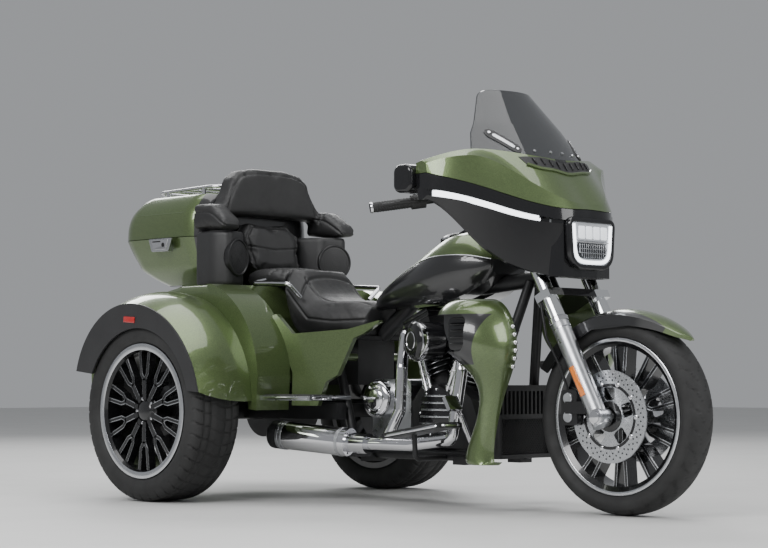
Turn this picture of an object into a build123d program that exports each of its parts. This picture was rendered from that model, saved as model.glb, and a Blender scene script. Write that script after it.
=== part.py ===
from build123d import *
import math
import os

# Three-wheeled touring motorcycle with a trunk, a top box and a fork-mounted fairing.
# Millimetres. x forward, y left, z up, ground at z = 0, x = 0 half way along.

# Main sizes
OVERALL_LENGTH = 2670.0
WHEELBASE = 1670.0
REAR_TRACK = 1170.0
RAKE = 28.0
TRAIL = 75.0
FORK_OFFSET = 75.0
FORK_HALF = 125.0

# Wheels
FRONT_TYRE_R = 320.0
FRONT_TYRE_HALF = 65.0
FRONT_BEAD_R = 241.0
FRONT_BEAD_HALF = 44.0
REAR_TYRE_R = 326.0
REAR_TYRE_HALF = 107.0
REAR_BEAD_R = 229.0
REAR_BEAD_HALF = 90.0
SPOKE_COUNT = 10
LIP = 14.0
FRONT_DISC_R = 150.0
FRONT_DISC_Y = 80.0
DISC_T = 5.0
FRONT_AXLE_R = 12.5
REAR_STUB_R = 22.0

# Fits and clearances
SEAT = 0.3
RUN = 0.08
MOVE = 6.0
SEAM_GAP = 2.0

# Fork and bars
STEM_R = 19.7
HEAD_R = 34.0
FORK_TUBE_R = 25.0
SLIDER_R = 31.0
BAR_R = 12.7
GRIP_R = 17.0
GRIP_LENGTH = 130.0

# Frame
RAIL_R = 17.0
BACKBONE_R = 28.0
RAIL_Y = 140.0
RAIL_Z = 178.0
MOUNT_TOP_Z = 200.0
SEAT_PLATE_Z = 597.0
PAD_Z = 150.0

# Engine
CYLINDER_ANGLE = 22.5
CRANK_Z = 310.0
DECK = 140.0
BARREL_R = 66.0
FIN_R = 84.0
FIN_COUNT = 8
FIN_T = 5.0
FIN_PITCH = 18.0
HEAD_HALF_Y = 88.0

# Rear body
TRUNK_HALF = 462.0
TRUNK_WALL = 14.0
DECK_Z = 788.0
FLARE_IN = 698.0
FLARE_T = 8.0
FLARE_OPENING_R = 298.0
WHEEL_WELL_R = REAR_TYRE_R + 9.0

# Top box
BOX_FLOOR_Z = 806.0
BOX_SEAM_Z = 986.0
BOX_TOP_Z = 1152.0
BOX_HALF = 300.0
BOX_WALL = 8.0
HINGE_R = 5.0
KNUCKLE_R = 11.0

# Places that follow from the sizes above
FRONT_X = OVERALL_LENGTH / 2 - FRONT_TYRE_R
REAR_X = FRONT_X - WHEELBASE
TAIL_X = -OVERALL_LENGTH / 2
ENGINE_X = REAR_X + 930.0
HEAD_X = FRONT_X + TRAIL
COS = math.cos(math.radians(RAKE))
SIN = math.sin(math.radians(RAKE))
STEER = Plane(origin=(HEAD_X, 0, 0), x_dir=(COS, 0, SIN), z_dir=(-SIN, 0, COS))
UP = (Align.CENTER, Align.CENTER, Align.MIN)


def block(x0, x1, y0, y1, z0, z1):
    return Pos((x0 + x1) / 2, (y0 + y1) / 2, (z0 + z1) / 2) * Box(x1 - x0, y1 - y0, z1 - z0)


def rod(p, q, r):
    along = Vector(*q) - Vector(*p)
    return Plane(origin=p, z_dir=along) * Cylinder(r, along.length, align=UP)


def pipe(points, bend, r):
    path = FilletPolyline(*points, radius=bend)
    return sweep(Plane(origin=path @ 0, z_dir=path % 0) * Circle(r), path=path)


def plate(points, y0, y1):
    outline = make_face(Polyline(*[(x, y0, z) for x, z in points], close=True))
    return extrude(outline, amount=y1 - y0, dir=(0, 1, 0))


def slab(points, z0, z1):
    outline = make_face(Polyline(*[(x, y, z0) for x, y in points], close=True))
    return extrude(outline, amount=z1 - z0, dir=(0, 0, 1))


def rounded(points, radius):
    return make_face(FilletPolyline(*points, radius=radius, close=True))


def crowned(low, side, top, crown):
    # closed outline: flat bottom, one arc up each side and one over the top, from half-section points
    def at(q, sign):
        return (q[0], sign * q[1], q[2])

    right = ThreePointArc(at(low, -1), at(side, -1), at(top, -1))
    over = ThreePointArc(at(top, -1), crown, at(top, 1))
    left = ThreePointArc(at(top, 1), at(side, 1), at(low, 1))
    return make_face([right, over, left, Line(at(low, 1), at(low, -1))])


def skin(sections, ruled=False):
    return loft([make_face(Polyline(*s, close=True)) for s in sections], ruled=ruled)


def other_side(shape):
    return mirror(shape, about=Plane.XZ)


def both(shape):
    return Compound(children=[shape, other_side(shape)])


def solid_of(shape):
    return max(shape.solids(), key=lambda s: s.volume)


def spun(points):
    face = make_face(Polyline(*[(0, y, r) for y, r in points], close=True))
    return revolve(face, axis=Axis((0, 0, 0), (0, 1, 0)))


def tube_y(y0, y1, r, x=0.0, z=0.0):
    return rod((x, y0, z), (x, y1, z), r)


def from_rear(points):
    return [(REAR_X + x, z) for x, z in points]


# Wheels: outside of each rear wheel faces away from the trunk
def tyre(half, bead_half, bead_r, outer_r, crown):
    side = [(bead_half, bead_r), (bead_half, bead_r + LIP + 3)]
    side += [(half, bead_r + 0.45 * (outer_r - bead_r))]
    side += [(half - 2, bead_r + 0.68 * (outer_r - bead_r))] + crown
    return spun([(-y, r) for y, r in side] + [(y, r) for y, r in reversed(side)])


def rim_barrel(bead_half, bead_r, lip_in, lip_t, wall):
    r = bead_r - SEAT
    h = bead_half + SEAT
    w = h + lip_t
    lip = bead_r + LIP
    inner = r - wall
    right = [(-w, lip_in), (-w, lip), (-h, lip), (-h, r)]
    left = [(-y, q) for y, q in reversed(right)]
    return spun(right + left + [(h - 6, inner), (-h + 6, inner)])


def fork_spokes(stem_w, stem_r0, split_r, tine_w, tine_half, tip_half, tip_r, y0, y1):
    stem = Plane.XZ * Pos(0, (stem_r0 + split_r + 8) / 2) * Rectangle(stem_w, split_r + 8 - stem_r0)
    flat = stem
    for s in (-1, 1):
        line = Polyline((0, split_r), (s * tine_half, split_r + 1.3 * tine_half), (s * tip_half, tip_r))
        flat = flat + Plane.XZ * trace(line, line_width=tine_w)
    one = extrude(flat, amount=y1 - y0, dir=(0, 1, 0))
    one = Pos(0, y0, 0) * one
    fan = one
    for k in range(1, SPOKE_COUNT):
        fan = fan + Rot(0, 360.0 / SPOKE_COUNT * k, 0) * one
    return fan


def rear_rim():
    barrel = rim_barrel(REAR_BEAD_HALF, REAR_BEAD_R, REAR_BEAD_R - 8, 7.0, 15.0)
    spokes = fork_spokes(20, 40, 112, 13, 17, 27, REAR_BEAD_R - 8, -82, -52)
    hub = tube_y(-68, 30, 58) + tube_y(-80, -60, 34)
    disc = tube_y(20, 28, 150)
    bore = tube_y(-60, 40, REAR_STUB_R + RUN)
    return barrel + spokes + hub + disc - bore


rear_crown = [(REAR_TYRE_HALF - 22, REAR_TYRE_R)]
rear_tyre = tyre(REAR_TYRE_HALF, REAR_BEAD_HALF, REAR_BEAD_R, REAR_TYRE_R, rear_crown)
rear_wheel_right = Pos(REAR_X, -REAR_TRACK / 2, REAR_TYRE_R)
rear_tyre_right = rear_wheel_right * rear_tyre
rear_rim_right = rear_wheel_right * rear_rim()
rear_tyre_left = other_side(rear_tyre_right)
rear_rim_left = other_side(rear_rim_right)

front_crown = [(FRONT_TYRE_HALF - 15, FRONT_TYRE_R - 11), (FRONT_TYRE_HALF - 40, FRONT_TYRE_R)]
front_place = Pos(FRONT_X, 0, FRONT_TYRE_R)
front_tyre = front_place * tyre(FRONT_TYRE_HALF, FRONT_BEAD_HALF, FRONT_BEAD_R, FRONT_TYRE_R, front_crown)
front_barrel = rim_barrel(FRONT_BEAD_HALF, FRONT_BEAD_R, FRONT_BEAD_R + 4, 5.7, 14.0)
front_spokes = fork_spokes(17, 30, 108, 11, 16, 24, FRONT_BEAD_R - 8, -26, 26)
DISC_IN = FRONT_DISC_Y - DISC_T / 2
front_hub = tube_y(-DISC_IN + SEAT, DISC_IN - SEAT, 42)
front_bore = tube_y(-100, 100, FRONT_AXLE_R + RUN)
front_rim = front_place * (front_barrel + front_spokes + front_hub - front_bore)
disc = tube_y(-FRONT_DISC_Y - DISC_T / 2, -DISC_IN, FRONT_DISC_R) - tube_y(-100, 0, 30)
for k in range(5):
    window = extrude(
        Plane.XZ * (Rot(0, 0, 72 * k) * Pos(0, 74) * RectangleRounded(44, 42, 10)), amount=200, both=True
    )
    disc = disc - window
front_discs = both(front_place * disc)


# Fork, in the steering plane: local x ahead of the axis, local z up along it
def leg_rod(s0, s1, r, side=-1):
    return rod((FORK_OFFSET, side * FORK_HALF, s0), (FORK_OFFSET, side * FORK_HALF, s1), r)


LOWER_CLAMP = 755.0
HEAD_BOTTOM = 790.0
HEAD_TOP = 960.0
UPPER_CLAMP = 966.0
CLAMP_T = 28.0
SLIDER_TOP = 680.0
AXLE_LOCAL = STEER.to_local_coords(Vector(FRONT_X, 0, FRONT_TYRE_R))
clamp_plan = [(-35, -35), (-35, 35), (45, FORK_HALF + 32), (108, FORK_HALF + 32)]
clamp_plan += [(108, -FORK_HALF - 32), (45, -FORK_HALF - 32)]
stem = rod((0, 0, LOWER_CLAMP), (0, 0, UPPER_CLAMP + CLAMP_T), STEM_R)
stem = stem + slab(clamp_plan, LOWER_CLAMP, LOWER_CLAMP + CLAMP_T)
stem = stem + slab(clamp_plan, UPPER_CLAMP, UPPER_CLAMP + CLAMP_T)
for side in (-1, 1):
    stem = stem + leg_rod(SLIDER_TOP - 120, UPPER_CLAMP + CLAMP_T + 8, FORK_TUBE_R, side)
    stem = stem + leg_rod(SLIDER_TOP + 4, LOWER_CLAMP + 5, FORK_TUBE_R + 4, side)
fork_stem = STEER * stem

legs = None
for side in (-1, 1):
    slider = leg_rod(AXLE_LOCAL.Z - 28, SLIDER_TOP, SLIDER_R, side)
    slider = slider + rod(
        (AXLE_LOCAL.X, side * (FORK_HALF - 26), AXLE_LOCAL.Z),
        (AXLE_LOCAL.X, side * (FORK_HALF + 26), AXLE_LOCAL.Z),
        27,
    )
    slider = slider - leg_rod(SLIDER_TOP - 130, SLIDER_TOP + 10, FORK_TUBE_R + RUN, side)
    legs = slider if legs is None else legs + slider
legs = legs + rod(
    (AXLE_LOCAL.X, -FORK_HALF - 20, AXLE_LOCAL.Z), (AXLE_LOCAL.X, FORK_HALF + 20, AXLE_LOCAL.Z), FRONT_AXLE_R
)
fork_legs = STEER * legs


def slider_at(z):
    # x of the slider's centre line at a height
    return HEAD_X + FORK_OFFSET / COS - z * SIN / COS


# Front fender: an arch over the tyre, drawn out to a tip ahead
fender_table = [
    # angle from ahead, outer radius, half width, depth
    (42, 368, 6, 8),
    (52, 360, 46, 26),
    (75, 350, 78, 48),
    (105, 346, 82, 56),
    (130, 346, 82, 56),
    (152, 350, 80, 50),
]


def fender_section(angle, radius, half, depth):
    a = math.radians(angle)

    def at(y, d):
        r = radius + d
        return (FRONT_X + r * math.cos(a), y, FRONT_TYRE_R + r * math.sin(a))

    right = Line(at(-half, -depth), at(-half, -0.4 * depth))
    over = ThreePointArc(at(-half, -0.4 * depth), at(0, 0), at(half, -0.4 * depth))
    left = Line(at(half, -0.4 * depth), at(half, -depth))
    return make_face([right, over, left, Line(at(half, -depth), at(-half, -depth))])


arch = loft([fender_section(*row) for row in fender_table], ruled=True)
fender_hollow = tube_y(-74, 74, FRONT_TYRE_R + 10, FRONT_X, FRONT_TYRE_R)
front_fender = solid_of(arch - fender_hollow)
BRACE_Z = 590.0
brace = tube_y(-FORK_HALF + SLIDER_R - 14, -70, 11, slider_at(BRACE_Z), BRACE_Z)
slider_sleeve = STEER * (
    leg_rod(200, SLIDER_TOP, SLIDER_R + SEAT) + leg_rod(200, SLIDER_TOP, SLIDER_R + SEAT, 1)
)
front_fender = front_fender + (brace + other_side(brace) - fender_hollow)
front_fender = front_fender - slider_sleeve

# Front calipers straddle the discs behind the fork
CAL_X = FRONT_X - 146.0
CAL_Z = FRONT_TYRE_R + 28.0
caliper = block(CAL_X - 32, CAL_X + 34, -112, -58, CAL_Z - 58, CAL_Z + 58)
caliper = fillet(caliper.edges().filter_by(Axis.Y), 14)
disc_slot = tube_y(-DISC_IN - DISC_T - MOVE, -DISC_IN + MOVE, FRONT_DISC_R + MOVE, FRONT_X, FRONT_TYRE_R)
caliper = solid_of(caliper - disc_slot)
caliper_arm = block(CAL_X - 10, slider_at(CAL_Z), -118, -99, CAL_Z - 20, CAL_Z + 20)
caliper = caliper + caliper_arm - slider_sleeve
hose_end = STEER.from_local_coords(Vector(52, -148, LOWER_CLAMP - 2))
hose_path = [(CAL_X - 8, -100, CAL_Z + 46), (CAL_X - 24, -122, CAL_Z + 130), (CAL_X - 60, -152, CAL_Z + 230)]
hose_path += [tuple(hose_end)]
caliper = solid_of(caliper) + pipe(hose_path, 40, 4.5)
front_calipers = both(solid_of(caliper))

# Fairing: one table of stations across the front, used by cap, lower, strips
fairing_table = [
    # y, front x, seam z, strip top z, strip bottom z, fold x, fold z, top x, top z, rear x, low z
    (440, 1200, 1116, 1062, 1043, 1195, 1148, 1176, 1158, 1150, 1030),
    (400, 1264, 1097, 1050, 1031, 1252, 1166, 1222, 1178, 1172, 1000),
    (300, 1358, 1060, 1015, 996, 1335, 1166, 1290, 1200, 1222, 868),
    (185, 1468, 1012, 973, 957, 1436, 1086, 1352, 1192, 1235, 790),
    (120, 1512, 999, 962, 950, 1494, 1040, 1384, 1184, 1235, 776),
    (0, 1524, 1000, 962, 950, 1510, 1022, 1398, 1177, 1235, 772),
]
stations = [(-row[0],) + row[1:] for row in fairing_table]
stations += list(reversed(fairing_table))[1:]
# fairing sizes are held from the rear axle of the photographed vehicle
FAIRING_X = FRONT_X - 1670.0


def cap_section(y, front, seam, strip_t, strip_b, fold_x, fold_z, top_x, top_z, rear, low):
    lip = seam + SEAM_GAP
    pts = [(front, lip), (fold_x, fold_z), (top_x, top_z), (rear, top_z - 6), (rear, lip)]
    return [(FAIRING_X + px, y, pz) for px, pz in pts]


cap = skin([cap_section(*row) for row in stations])

# Windscreen: a bowed sheet clamped in a slot of the cap
SCREEN_T = 5.0
SCREEN_TOP = 1428.0
screen_table = [
    # z, half width, centre x, edge x
    (1165, 300, 1408, 1272),
    (1300, 234, 1306, 1206),
    (1430, 140, 1202, 1140),
]


def screen_sheet(grow):
    faces = []
    for z, half, centre, edge in screen_table:
        mid_x = FAIRING_X + centre
        end_x = FAIRING_X + edge
        front = ThreePointArc((end_x + grow, -half, z), (mid_x + grow, 0, z), (end_x + grow, half, z))
        inner = -SCREEN_T - grow
        back = ThreePointArc((end_x + inner, half, z), (mid_x + inner, 0, z), (end_x + inner, -half, z))
        ends = [Line(front @ 1, back @ 0), Line(back @ 1, front @ 0)]
        faces.append(make_face([front, ends[0], back, ends[1]]))
    return loft(faces, ruled=True)


screen_trim = [(-440, 1000), (440, 1000), (134, SCREEN_TOP), (-134, SCREEN_TOP)]
screen_trim = extrude(rounded([(FRONT_X, y, z) for y, z in screen_trim], 66), amount=-900, dir=(1, 0, 0))
windscreen = solid_of(screen_sheet(0.0) & screen_trim)
fairing_cap = solid_of(cap - screen_sheet(0.5) - block(-2000, 2000, -283, 283, 1300, 1500))

# Dark lower half: nose wall, cheeks beside the fork, deck and the bands under the cap
NOSE_Z = 776.0
NOSE_TOP = 990.0
nose_plan = [(1522, -40), (1512, -118), (1486, -150), (1464, -150), (1472, -96), (1448, -84)]
nose_plan += [(1448, 84), (1472, 96), (1464, 150), (1486, 150), (1512, 118), (1522, 40)]
lower = slab([(FAIRING_X + px, py) for px, py in nose_plan], NOSE_Z, NOSE_TOP)
lower = lower + block(FAIRING_X + 1262, FAIRING_X + 1470, -188, 188, 966, NOSE_TOP)
STAY_REACH = 272.0
for side in (-1, 1):
    stay_foot = (80, side * (FORK_HALF + 32 + SEAT), UPPER_CLAMP + 14)
    stay = rod((80, side * STAY_REACH, UPPER_CLAMP + 14), stay_foot, 12)
    lower = lower + STEER * stay


def band_section(y, front, seam, strip_t, strip_b, fold_x, fold_z, top_x, top_z, rear, low):
    top = strip_t + SEAT
    base = strip_b - SEAT
    pts = [(rear, seam), (front, seam), (front + 3, top), (front - 18, top), (front - 18, base)]
    pts += [(front + 1, base), (front - 22, low), (front - 36, low), (front - 40, base)]
    pts += [(rear, 0.5 * (seam + strip_t))]
    return [(FAIRING_X + px, y, pz) for px, pz in pts]


def strip_section(y, front, seam, strip_t, strip_b, fold_x, fold_z, top_x, top_z, rear, low):
    pts = [(front - 16, strip_t), (front + 2, strip_t), (front + 1, strip_b), (front - 16, strip_b)]
    return [(FAIRING_X + px, y, pz) for px, pz in pts]


lower = lower + skin([band_section(*row) for row in stations])
lamp_face = [(-110, 962), (110, 962), (100, 838), (70, 812), (-70, 812), (-100, 838)]


def lamp_body(grow, x0, x1):
    pts = []
    for y, z in lamp_face:
        pts.append((FAIRING_X + x0, y * (1 + grow / 110.0), 887 + (z - 887) * (1 + grow / 75.0)))
    return extrude(rounded(pts, 14), amount=x1 - x0, dir=(1, 0, 0))


headlamp = lamp_body(0.0, 1480, 1534)
headlamp = fillet(headlamp.faces().sort_by(Axis.X)[-1].edges(), 9)
fairing_lower = solid_of(lower - lamp_body(SEAT, 1480 - SEAT, 1600) - screen_sheet(0.5))
strip = skin([strip_section(*row) for row in stations[:4]])
strip = strip & block(-2000, 2000, -426, -150, 900, 1100)
light_strips = both(solid_of(strip - fairing_lower))

# Instrument panel behind the cap
dash_side = [(1235 - SEAT, 1160), (1235 - SEAT, 1003), (1204, 1003), (1180, 1092), (1202, 1160)]
dash = plate([(FAIRING_X + px, pz) for px, pz in dash_side], -176, 176)

# Mirrors behind the wing ends
mirror_body = block(FAIRING_X + 1066, FAIRING_X + fairing_table[0][9] - SEAT, -466, -400, 1056, 1150)
mirror_body = fillet(mirror_body.edges().filter_by(Axis.Y), 28)
mirror_body = fillet(mirror_body.faces().sort_by(Axis.Y)[0].edges(), 12)
mirrors = both(mirror_body)

# Handlebar on the upper clamp
RISER = STEER.from_local_coords(Vector(10, 0, UPPER_CLAMP + CLAMP_T + 40))
BAR_Z = RISER.Z
bar_points = [
    (RISER.X, 0, BAR_Z),
    (RISER.X - 5, -120, BAR_Z + 8),
    (FAIRING_X + 1118, -290, 1046),
    (FAIRING_X + 985, -468, 1014),
]
half_bar = pipe(bar_points, 60, BAR_R)
risers = None
for side in (-1, 1):
    base_point = STEER.from_local_coords(Vector(10, side * 50, UPPER_CLAMP + CLAMP_T + SEAT))
    top_point = STEER.from_local_coords(Vector(10, side * 50, UPPER_CLAMP + CLAMP_T + 42))
    riser = rod(tuple(base_point), tuple(top_point), 17)
    risers = riser if risers is None else risers + riser
handlebar = half_bar + other_side(half_bar) + risers
GRIP_END = Vector(*bar_points[3])
GRIP_DIR = (Vector(*bar_points[2]) - GRIP_END).normalized()
grip_start = GRIP_END - GRIP_DIR * 6
grip = rod(tuple(grip_start), tuple(grip_start + GRIP_DIR * GRIP_LENGTH), GRIP_R)
perch_start = grip_start + GRIP_DIR * GRIP_LENGTH
perch = rod(tuple(perch_start), tuple(perch_start + GRIP_DIR * 48), 24)
lever_root = perch_start + GRIP_DIR * 20
lever_reach = Vector(GRIP_DIR.Y, -GRIP_DIR.X, 0).normalized() * 62
lever_mid = lever_root + lever_reach
lever_tip = GRIP_END + GRIP_DIR * 16 + lever_reach
lever = pipe([tuple(lever_root), tuple(lever_mid), tuple(lever_tip)], 18, 6)
bar_bore = rod(tuple(grip_start + GRIP_DIR * 4), tuple(grip_start + GRIP_DIR * 240), BAR_R + RUN)
hand_controls = both(grip + perch + lever - bar_bore)

# Frame: head tube, backbone, cradle, seat plate, rear rails and brackets
backbone_path = [(HEAD_X - 410, 0, 782), (REAR_X + 740, 0, 738), (REAR_X + 552, 0, SEAT_PLATE_Z + 2)]
backbone = pipe(backbone_path, 90, BACKBONE_R)
cradle_path = [
    (HEAD_X - 460, -25, 770),
    (REAR_X + 1192, -100, 420),
    (REAR_X + 1172, -RAIL_Y, RAIL_Z),
    (REAR_X + 560, -RAIL_Y, RAIL_Z),
    (REAR_X + 440, -RAIL_Y, SEAT_PLATE_Z - 6),
]
cradle = pipe(cradle_path, 60, RAIL_R)
rear_rail = rod((REAR_X + 460, -110, SEAT_PLATE_Z - 22), (REAR_X + 176, -110, SEAT_PLATE_Z - 22), 15)
LOWER_BRACKET = (REAR_X + 1268, 500.0)
bracket_line = rod((REAR_X + 1205, -88, 490), (LOWER_BRACKET[0], -228, LOWER_BRACKET[1]), 12)
half = cradle + rear_rail + bracket_line
for jack_x in (REAR_X + 640, REAR_X + 1090):
    half = half + block(jack_x - 30, jack_x + 30, -RAIL_Y - 30, -RAIL_Y + 30, PAD_Z, RAIL_Z)
frame = STEER * (rod((0, 0, HEAD_BOTTOM), (0, 0, HEAD_TOP), HEAD_R))
frame = frame + backbone + half + other_side(half)
frame = frame + block(REAR_X + 250, REAR_X + 568, -150, 150, SEAT_PLATE_Z - 14, SEAT_PLATE_Z)
for mount_x in (REAR_X + 700, REAR_X + 1070):
    frame = frame + block(mount_x - 25, mount_x + 25, -RAIL_Y, RAIL_Y, RAIL_Z - 6, MOUNT_TOP_Z)
frame = frame + block(REAR_X + 164 + SEAT, REAR_X + 180, -140, 140, 540, 596)
frame = frame - STEER * rod((0, 0, 700), (0, 0, 1000), STEM_R + RUN)
frame = frame - STEER * (rod((0, 0, HEAD_TOP), (0, 0, HEAD_TOP + 60), HEAD_R + 40))
frame = frame - STEER * (rod((0, 0, HEAD_BOTTOM - 60), (0, 0, HEAD_BOTTOM), HEAD_R + 20))

# Engine: V of two finned cylinders on a crankcase
case_side = [(790, 202), (790, 360), (850, 430), (1010, 430), (1075, 370), (1105, 300), (1080, 202)]
case_side = [(REAR_X + px, pz) for px, pz in case_side]
crankcase = plate([(px, max(pz, MOUNT_TOP_Z + SEAT)) for px, pz in case_side], -92, 92)
crank = Vector(ENGINE_X, 0, CRANK_Z)


def cylinder_plane(tilt):
    a = math.radians(tilt)
    along = (math.sin(a), 0, math.cos(a))
    return Plane(origin=tuple(crank), x_dir=(math.cos(a), 0, -math.sin(a)), z_dir=along)


def spool(tilt):
    shape = Cylinder(BARREL_R, 170, align=UP)
    for k in range(FIN_COUNT):
        shape = shape + Pos(0, 0, 12 + k * FIN_PITCH) * Cylinder(FIN_R, FIN_T, align=UP)
    shape = shape + Pos(0, 0, 160) * Box(150, 2 * HEAD_HALF_Y, 52, align=UP)
    shape = shape + Pos(0, 0, 210) * Box(128, 2 * HEAD_HALF_Y - 36, 36, align=UP)
    return cylinder_plane(tilt) * (Pos(0, 0, DECK + SEAT) * shape)


boss = Cylinder(FIN_R - 6, DECK - 40, align=UP)
for tilt in (-CYLINDER_ANGLE, CYLINDER_ANGLE):
    crankcase = crankcase + cylinder_plane(tilt) * (Pos(0, 0, 40) * boss)
for tilt in (-CYLINDER_ANGLE, CYLINDER_ANGLE):
    above = cylinder_plane(tilt) * (Pos(0, 0, DECK) * Box(176, 260, 200, align=UP))
    crankcase = crankcase - above
cam_side = [(-92, 300), (-64, 392), (0, 424), (64, 392), (104, 300), (56, 236), (-50, 236)]
cam_face = rounded([(ENGINE_X + px, -92, pz) for px, pz in cam_side], 24)
cam_cover = extrude(cam_face, amount=24, dir=(0, -1, 0))
rib_space = extrude(cam_face, amount=40, dir=(0, -1, 0))
for rib_z in range(262, 400, 24):
    rib = block(ENGINE_X - 70, ENGINE_X + 76, -124, -112, rib_z - 4, rib_z + 4)
    cam_cover = cam_cover + (rib & rib_space)
crankcase = crankcase + cam_cover
push_rods = [
    # foot x and top x from the crank, top z
    (-30, -88, 560),
    (-52, -112, 560),
    (62, 114, 560),
    (40, 92, 528),
]
for foot_x, top_x, top_z in push_rods:
    foot = (ENGINE_X + foot_x, -104, 380)
    crankcase = crankcase + rod(foot, (ENGINE_X + top_x, -99, top_z), 8)
rear_half = block(ENGINE_X - 600, ENGINE_X - 1, -300, 300, 0, 900)
front_half = block(ENGINE_X + 1, ENGINE_X + 600, -300, 300, 0, 900)
rear_cylinder = solid_of(spool(-CYLINDER_ANGLE) & rear_half)
front_cylinder = solid_of(spool(CYLINDER_ANGLE) & front_half)
cylinders = Compound(children=[rear_cylinder, front_cylinder])

gearbox = block(REAR_X + 596, REAR_X + 789, -96, 96, MOUNT_TOP_Z + SEAT, 440)
gearbox = fillet(gearbox.edges().filter_by(Axis.Y), 22)
round_cover = tube_y(-150, -96, 66, REAR_X + 660, 370)
round_cover = fillet(round_cover.edges().filter_by(lambda e: e.center().Y < -140), 16)
gearbox = gearbox + round_cover + tube_y(-156, -140, 34, REAR_X + 660, 370)
primary = SlotCenterToCenter(270, 190)
primary = extrude(Plane.XZ * primary, amount=60)
primary = fillet(primary.faces().sort_by(Axis.Y)[-1].edges(), 18)
primary_cover = Pos(REAR_X + 800, 92 + SEAT + 60 + 4, 318) * primary

# Air cleaner on the right of the V
AIR_Z = 571.0
air_dir = Vector(-math.sin(math.radians(18)), -math.cos(math.radians(18)), 0)
air_back = Vector(ENGINE_X + 38, -150, AIR_Z)
air_cleaner = rod(tuple(air_back), tuple(air_back + air_dir * 84), 66)
air_cleaner = air_cleaner + block(
    ENGINE_X - 20, ENGINE_X + 60, -176, -HEAD_HALF_Y - SEAT, AIR_Z - 38, AIR_Z + 58
)
air_cleaner = air_cleaner + block(
    ENGINE_X - 95, ENGINE_X + 105, -104, -HEAD_HALF_Y - SEAT, AIR_Z + 24, AIR_Z + 62
)

# Exhaust: two headers into one collector and a long silencer on the right
PORT_Z = 600.0
port_table = [
    # start x, path
    (1068, [(1108, -176, 470), (1080, -196, 236), (900, -214, 214), (700, -222, 214)]),
    (800, [(832, -186, 480), (826, -190, 330), (780, -214, 222), (640, -222, 214)]),
]
exhaust = None
for port_x, path in port_table:
    points = [(REAR_X + port_x, -HEAD_HALF_Y - SEAT, PORT_Z), (REAR_X + port_x, -136, PORT_Z)]
    points += [(REAR_X + px, py, pz) for px, py, pz in path]
    header = pipe(points, 24, 21)
    exhaust = header if exhaust is None else exhaust + header
exhaust = exhaust + rod((REAR_X + 705, -222, 214), (REAR_X + 600, -226, 216), 36)
exhaust = exhaust + rod((REAR_X + 615, -226, 216), (REAR_X + 300, -292, 240), 50)
exhaust = exhaust + block(REAR_X + 618, REAR_X + 662, -230, -RAIL_Y - 30 - SEAT, 168, 186)
exhaust = exhaust + block(REAR_X + 618, REAR_X + 662, -240, -205, 168, 214)

# Tank over the backbone
tank_table = [
    # x, half top, half mid, half bottom, top z, mid z, bottom z
    (578, 30, 62, 48, 733, 705, 690),
    (660, 70, 112, 82, 788, 738, 690),
    (780, 92, 140, 104, 852, 782, 696),
    (900, 104, 158, 116, 910, 822, 704),
    (1005, 100, 158, 116, 951, 846, 716),
    (1090, 82, 138, 104, 942, 852, 744),
    (1165, 50, 92, 66, 890, 850, 800),
]


def tank_section(px, top, mid, low, z_top, z_mid, z_low):
    x_here = REAR_X + px
    side = (x_here, mid, 0.5 * (z_mid + z_low) + 0.25 * (z_mid - z_low))
    return crowned((x_here, low, z_low), side, (x_here, top, z_top - 16), (x_here, 0, z_top + 2))


tank = loft([tank_section(*row) for row in tank_table])
tunnel = pipe(backbone_path, 90, BACKBONE_R + SEAT)
channel_side = [(px, pz) for px, py, pz in backbone_path] + [(REAR_X + 552, 500), (HEAD_X - 410, 500)]
channel = plate(channel_side, -BACKBONE_R - SEAT, BACKBONE_R + SEAT)
fuel_tank = solid_of(tank - tunnel - channel)
console_side = [(690, 780), (1000, 930), (1000, 966), (930, 938), (690, 812)]
console = plate([(REAR_X + px, pz) for px, pz in console_side], -34, 34)
console = console + rod((REAR_X + 913, 0, 880), (REAR_X + 907, 0, 936), 42)
tank_console = solid_of(console - fuel_tank)

# Seats on the seat plate and the trunk deck
SEAT_BASE = SEAT_PLATE_Z + SEAT
rider_table = [
    # x, half width, base z, top z
    (572, 104, SEAT_BASE, 727),
    (500, 142, SEAT_BASE, 725),
    (420, 165, SEAT_BASE, 724),
    (320, 182, SEAT_BASE, 752),
    (238, 186, SEAT_BASE + 20, 846),
    (192, 182, 720, 850),
]


def cushion_section(px, half, base, top):
    x_here = REAR_X + px
    side = (x_here, half, base + 0.5 * (top - base))
    return crowned((x_here, 0.84 * half, base), side, (x_here, 0.74 * half, top - 8), (x_here, 0, top))


rider_seat = loft([cushion_section(*row) for row in rider_table])
rider_seat = solid_of(rider_seat - tunnel - channel)
PILLION_BASE = DECK_Z + SEAT
pillion_rows = [(184, 160, PILLION_BASE, 846), (120, 176, PILLION_BASE, 858), (-22, 180, PILLION_BASE, 852)]
passenger_seat = loft([cushion_section(*row) for row in pillion_rows])

# Battery box under the seat and the painted side covers
battery_box = block(REAR_X + 300, REAR_X + 516, -92, 92, 420, SEAT_PLATE_Z - 14 - SEAT)
COVER_TURN = math.degrees(math.atan2(110, 460))
COVER_PLACE = Pos(REAR_X + 298, -300, 0) * Rot(0, 0, COVER_TURN)
cover_side = [(0, 671), (92, 462), (88, 345), (200, 345), (235, 430), (285, 455), (352, 585)]
cover_side += [(392, 600), (480, 652), (330, 618), (90, 604), (20, 676)]
cover = extrude(rounded([(px, -24, pz) for px, pz in cover_side], 4), amount=24, dir=(0, 1, 0))
cover = COVER_PLACE * cover
cover_stay = rod((REAR_X + 502, -92 - SEAT, 520), (REAR_X + 502, -258, 520), 14)
cover_cut = COVER_PLACE * block(-100, 600, -200, -4, 0, 900)
cover = cover + (cover_stay - cover_cut)

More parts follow.
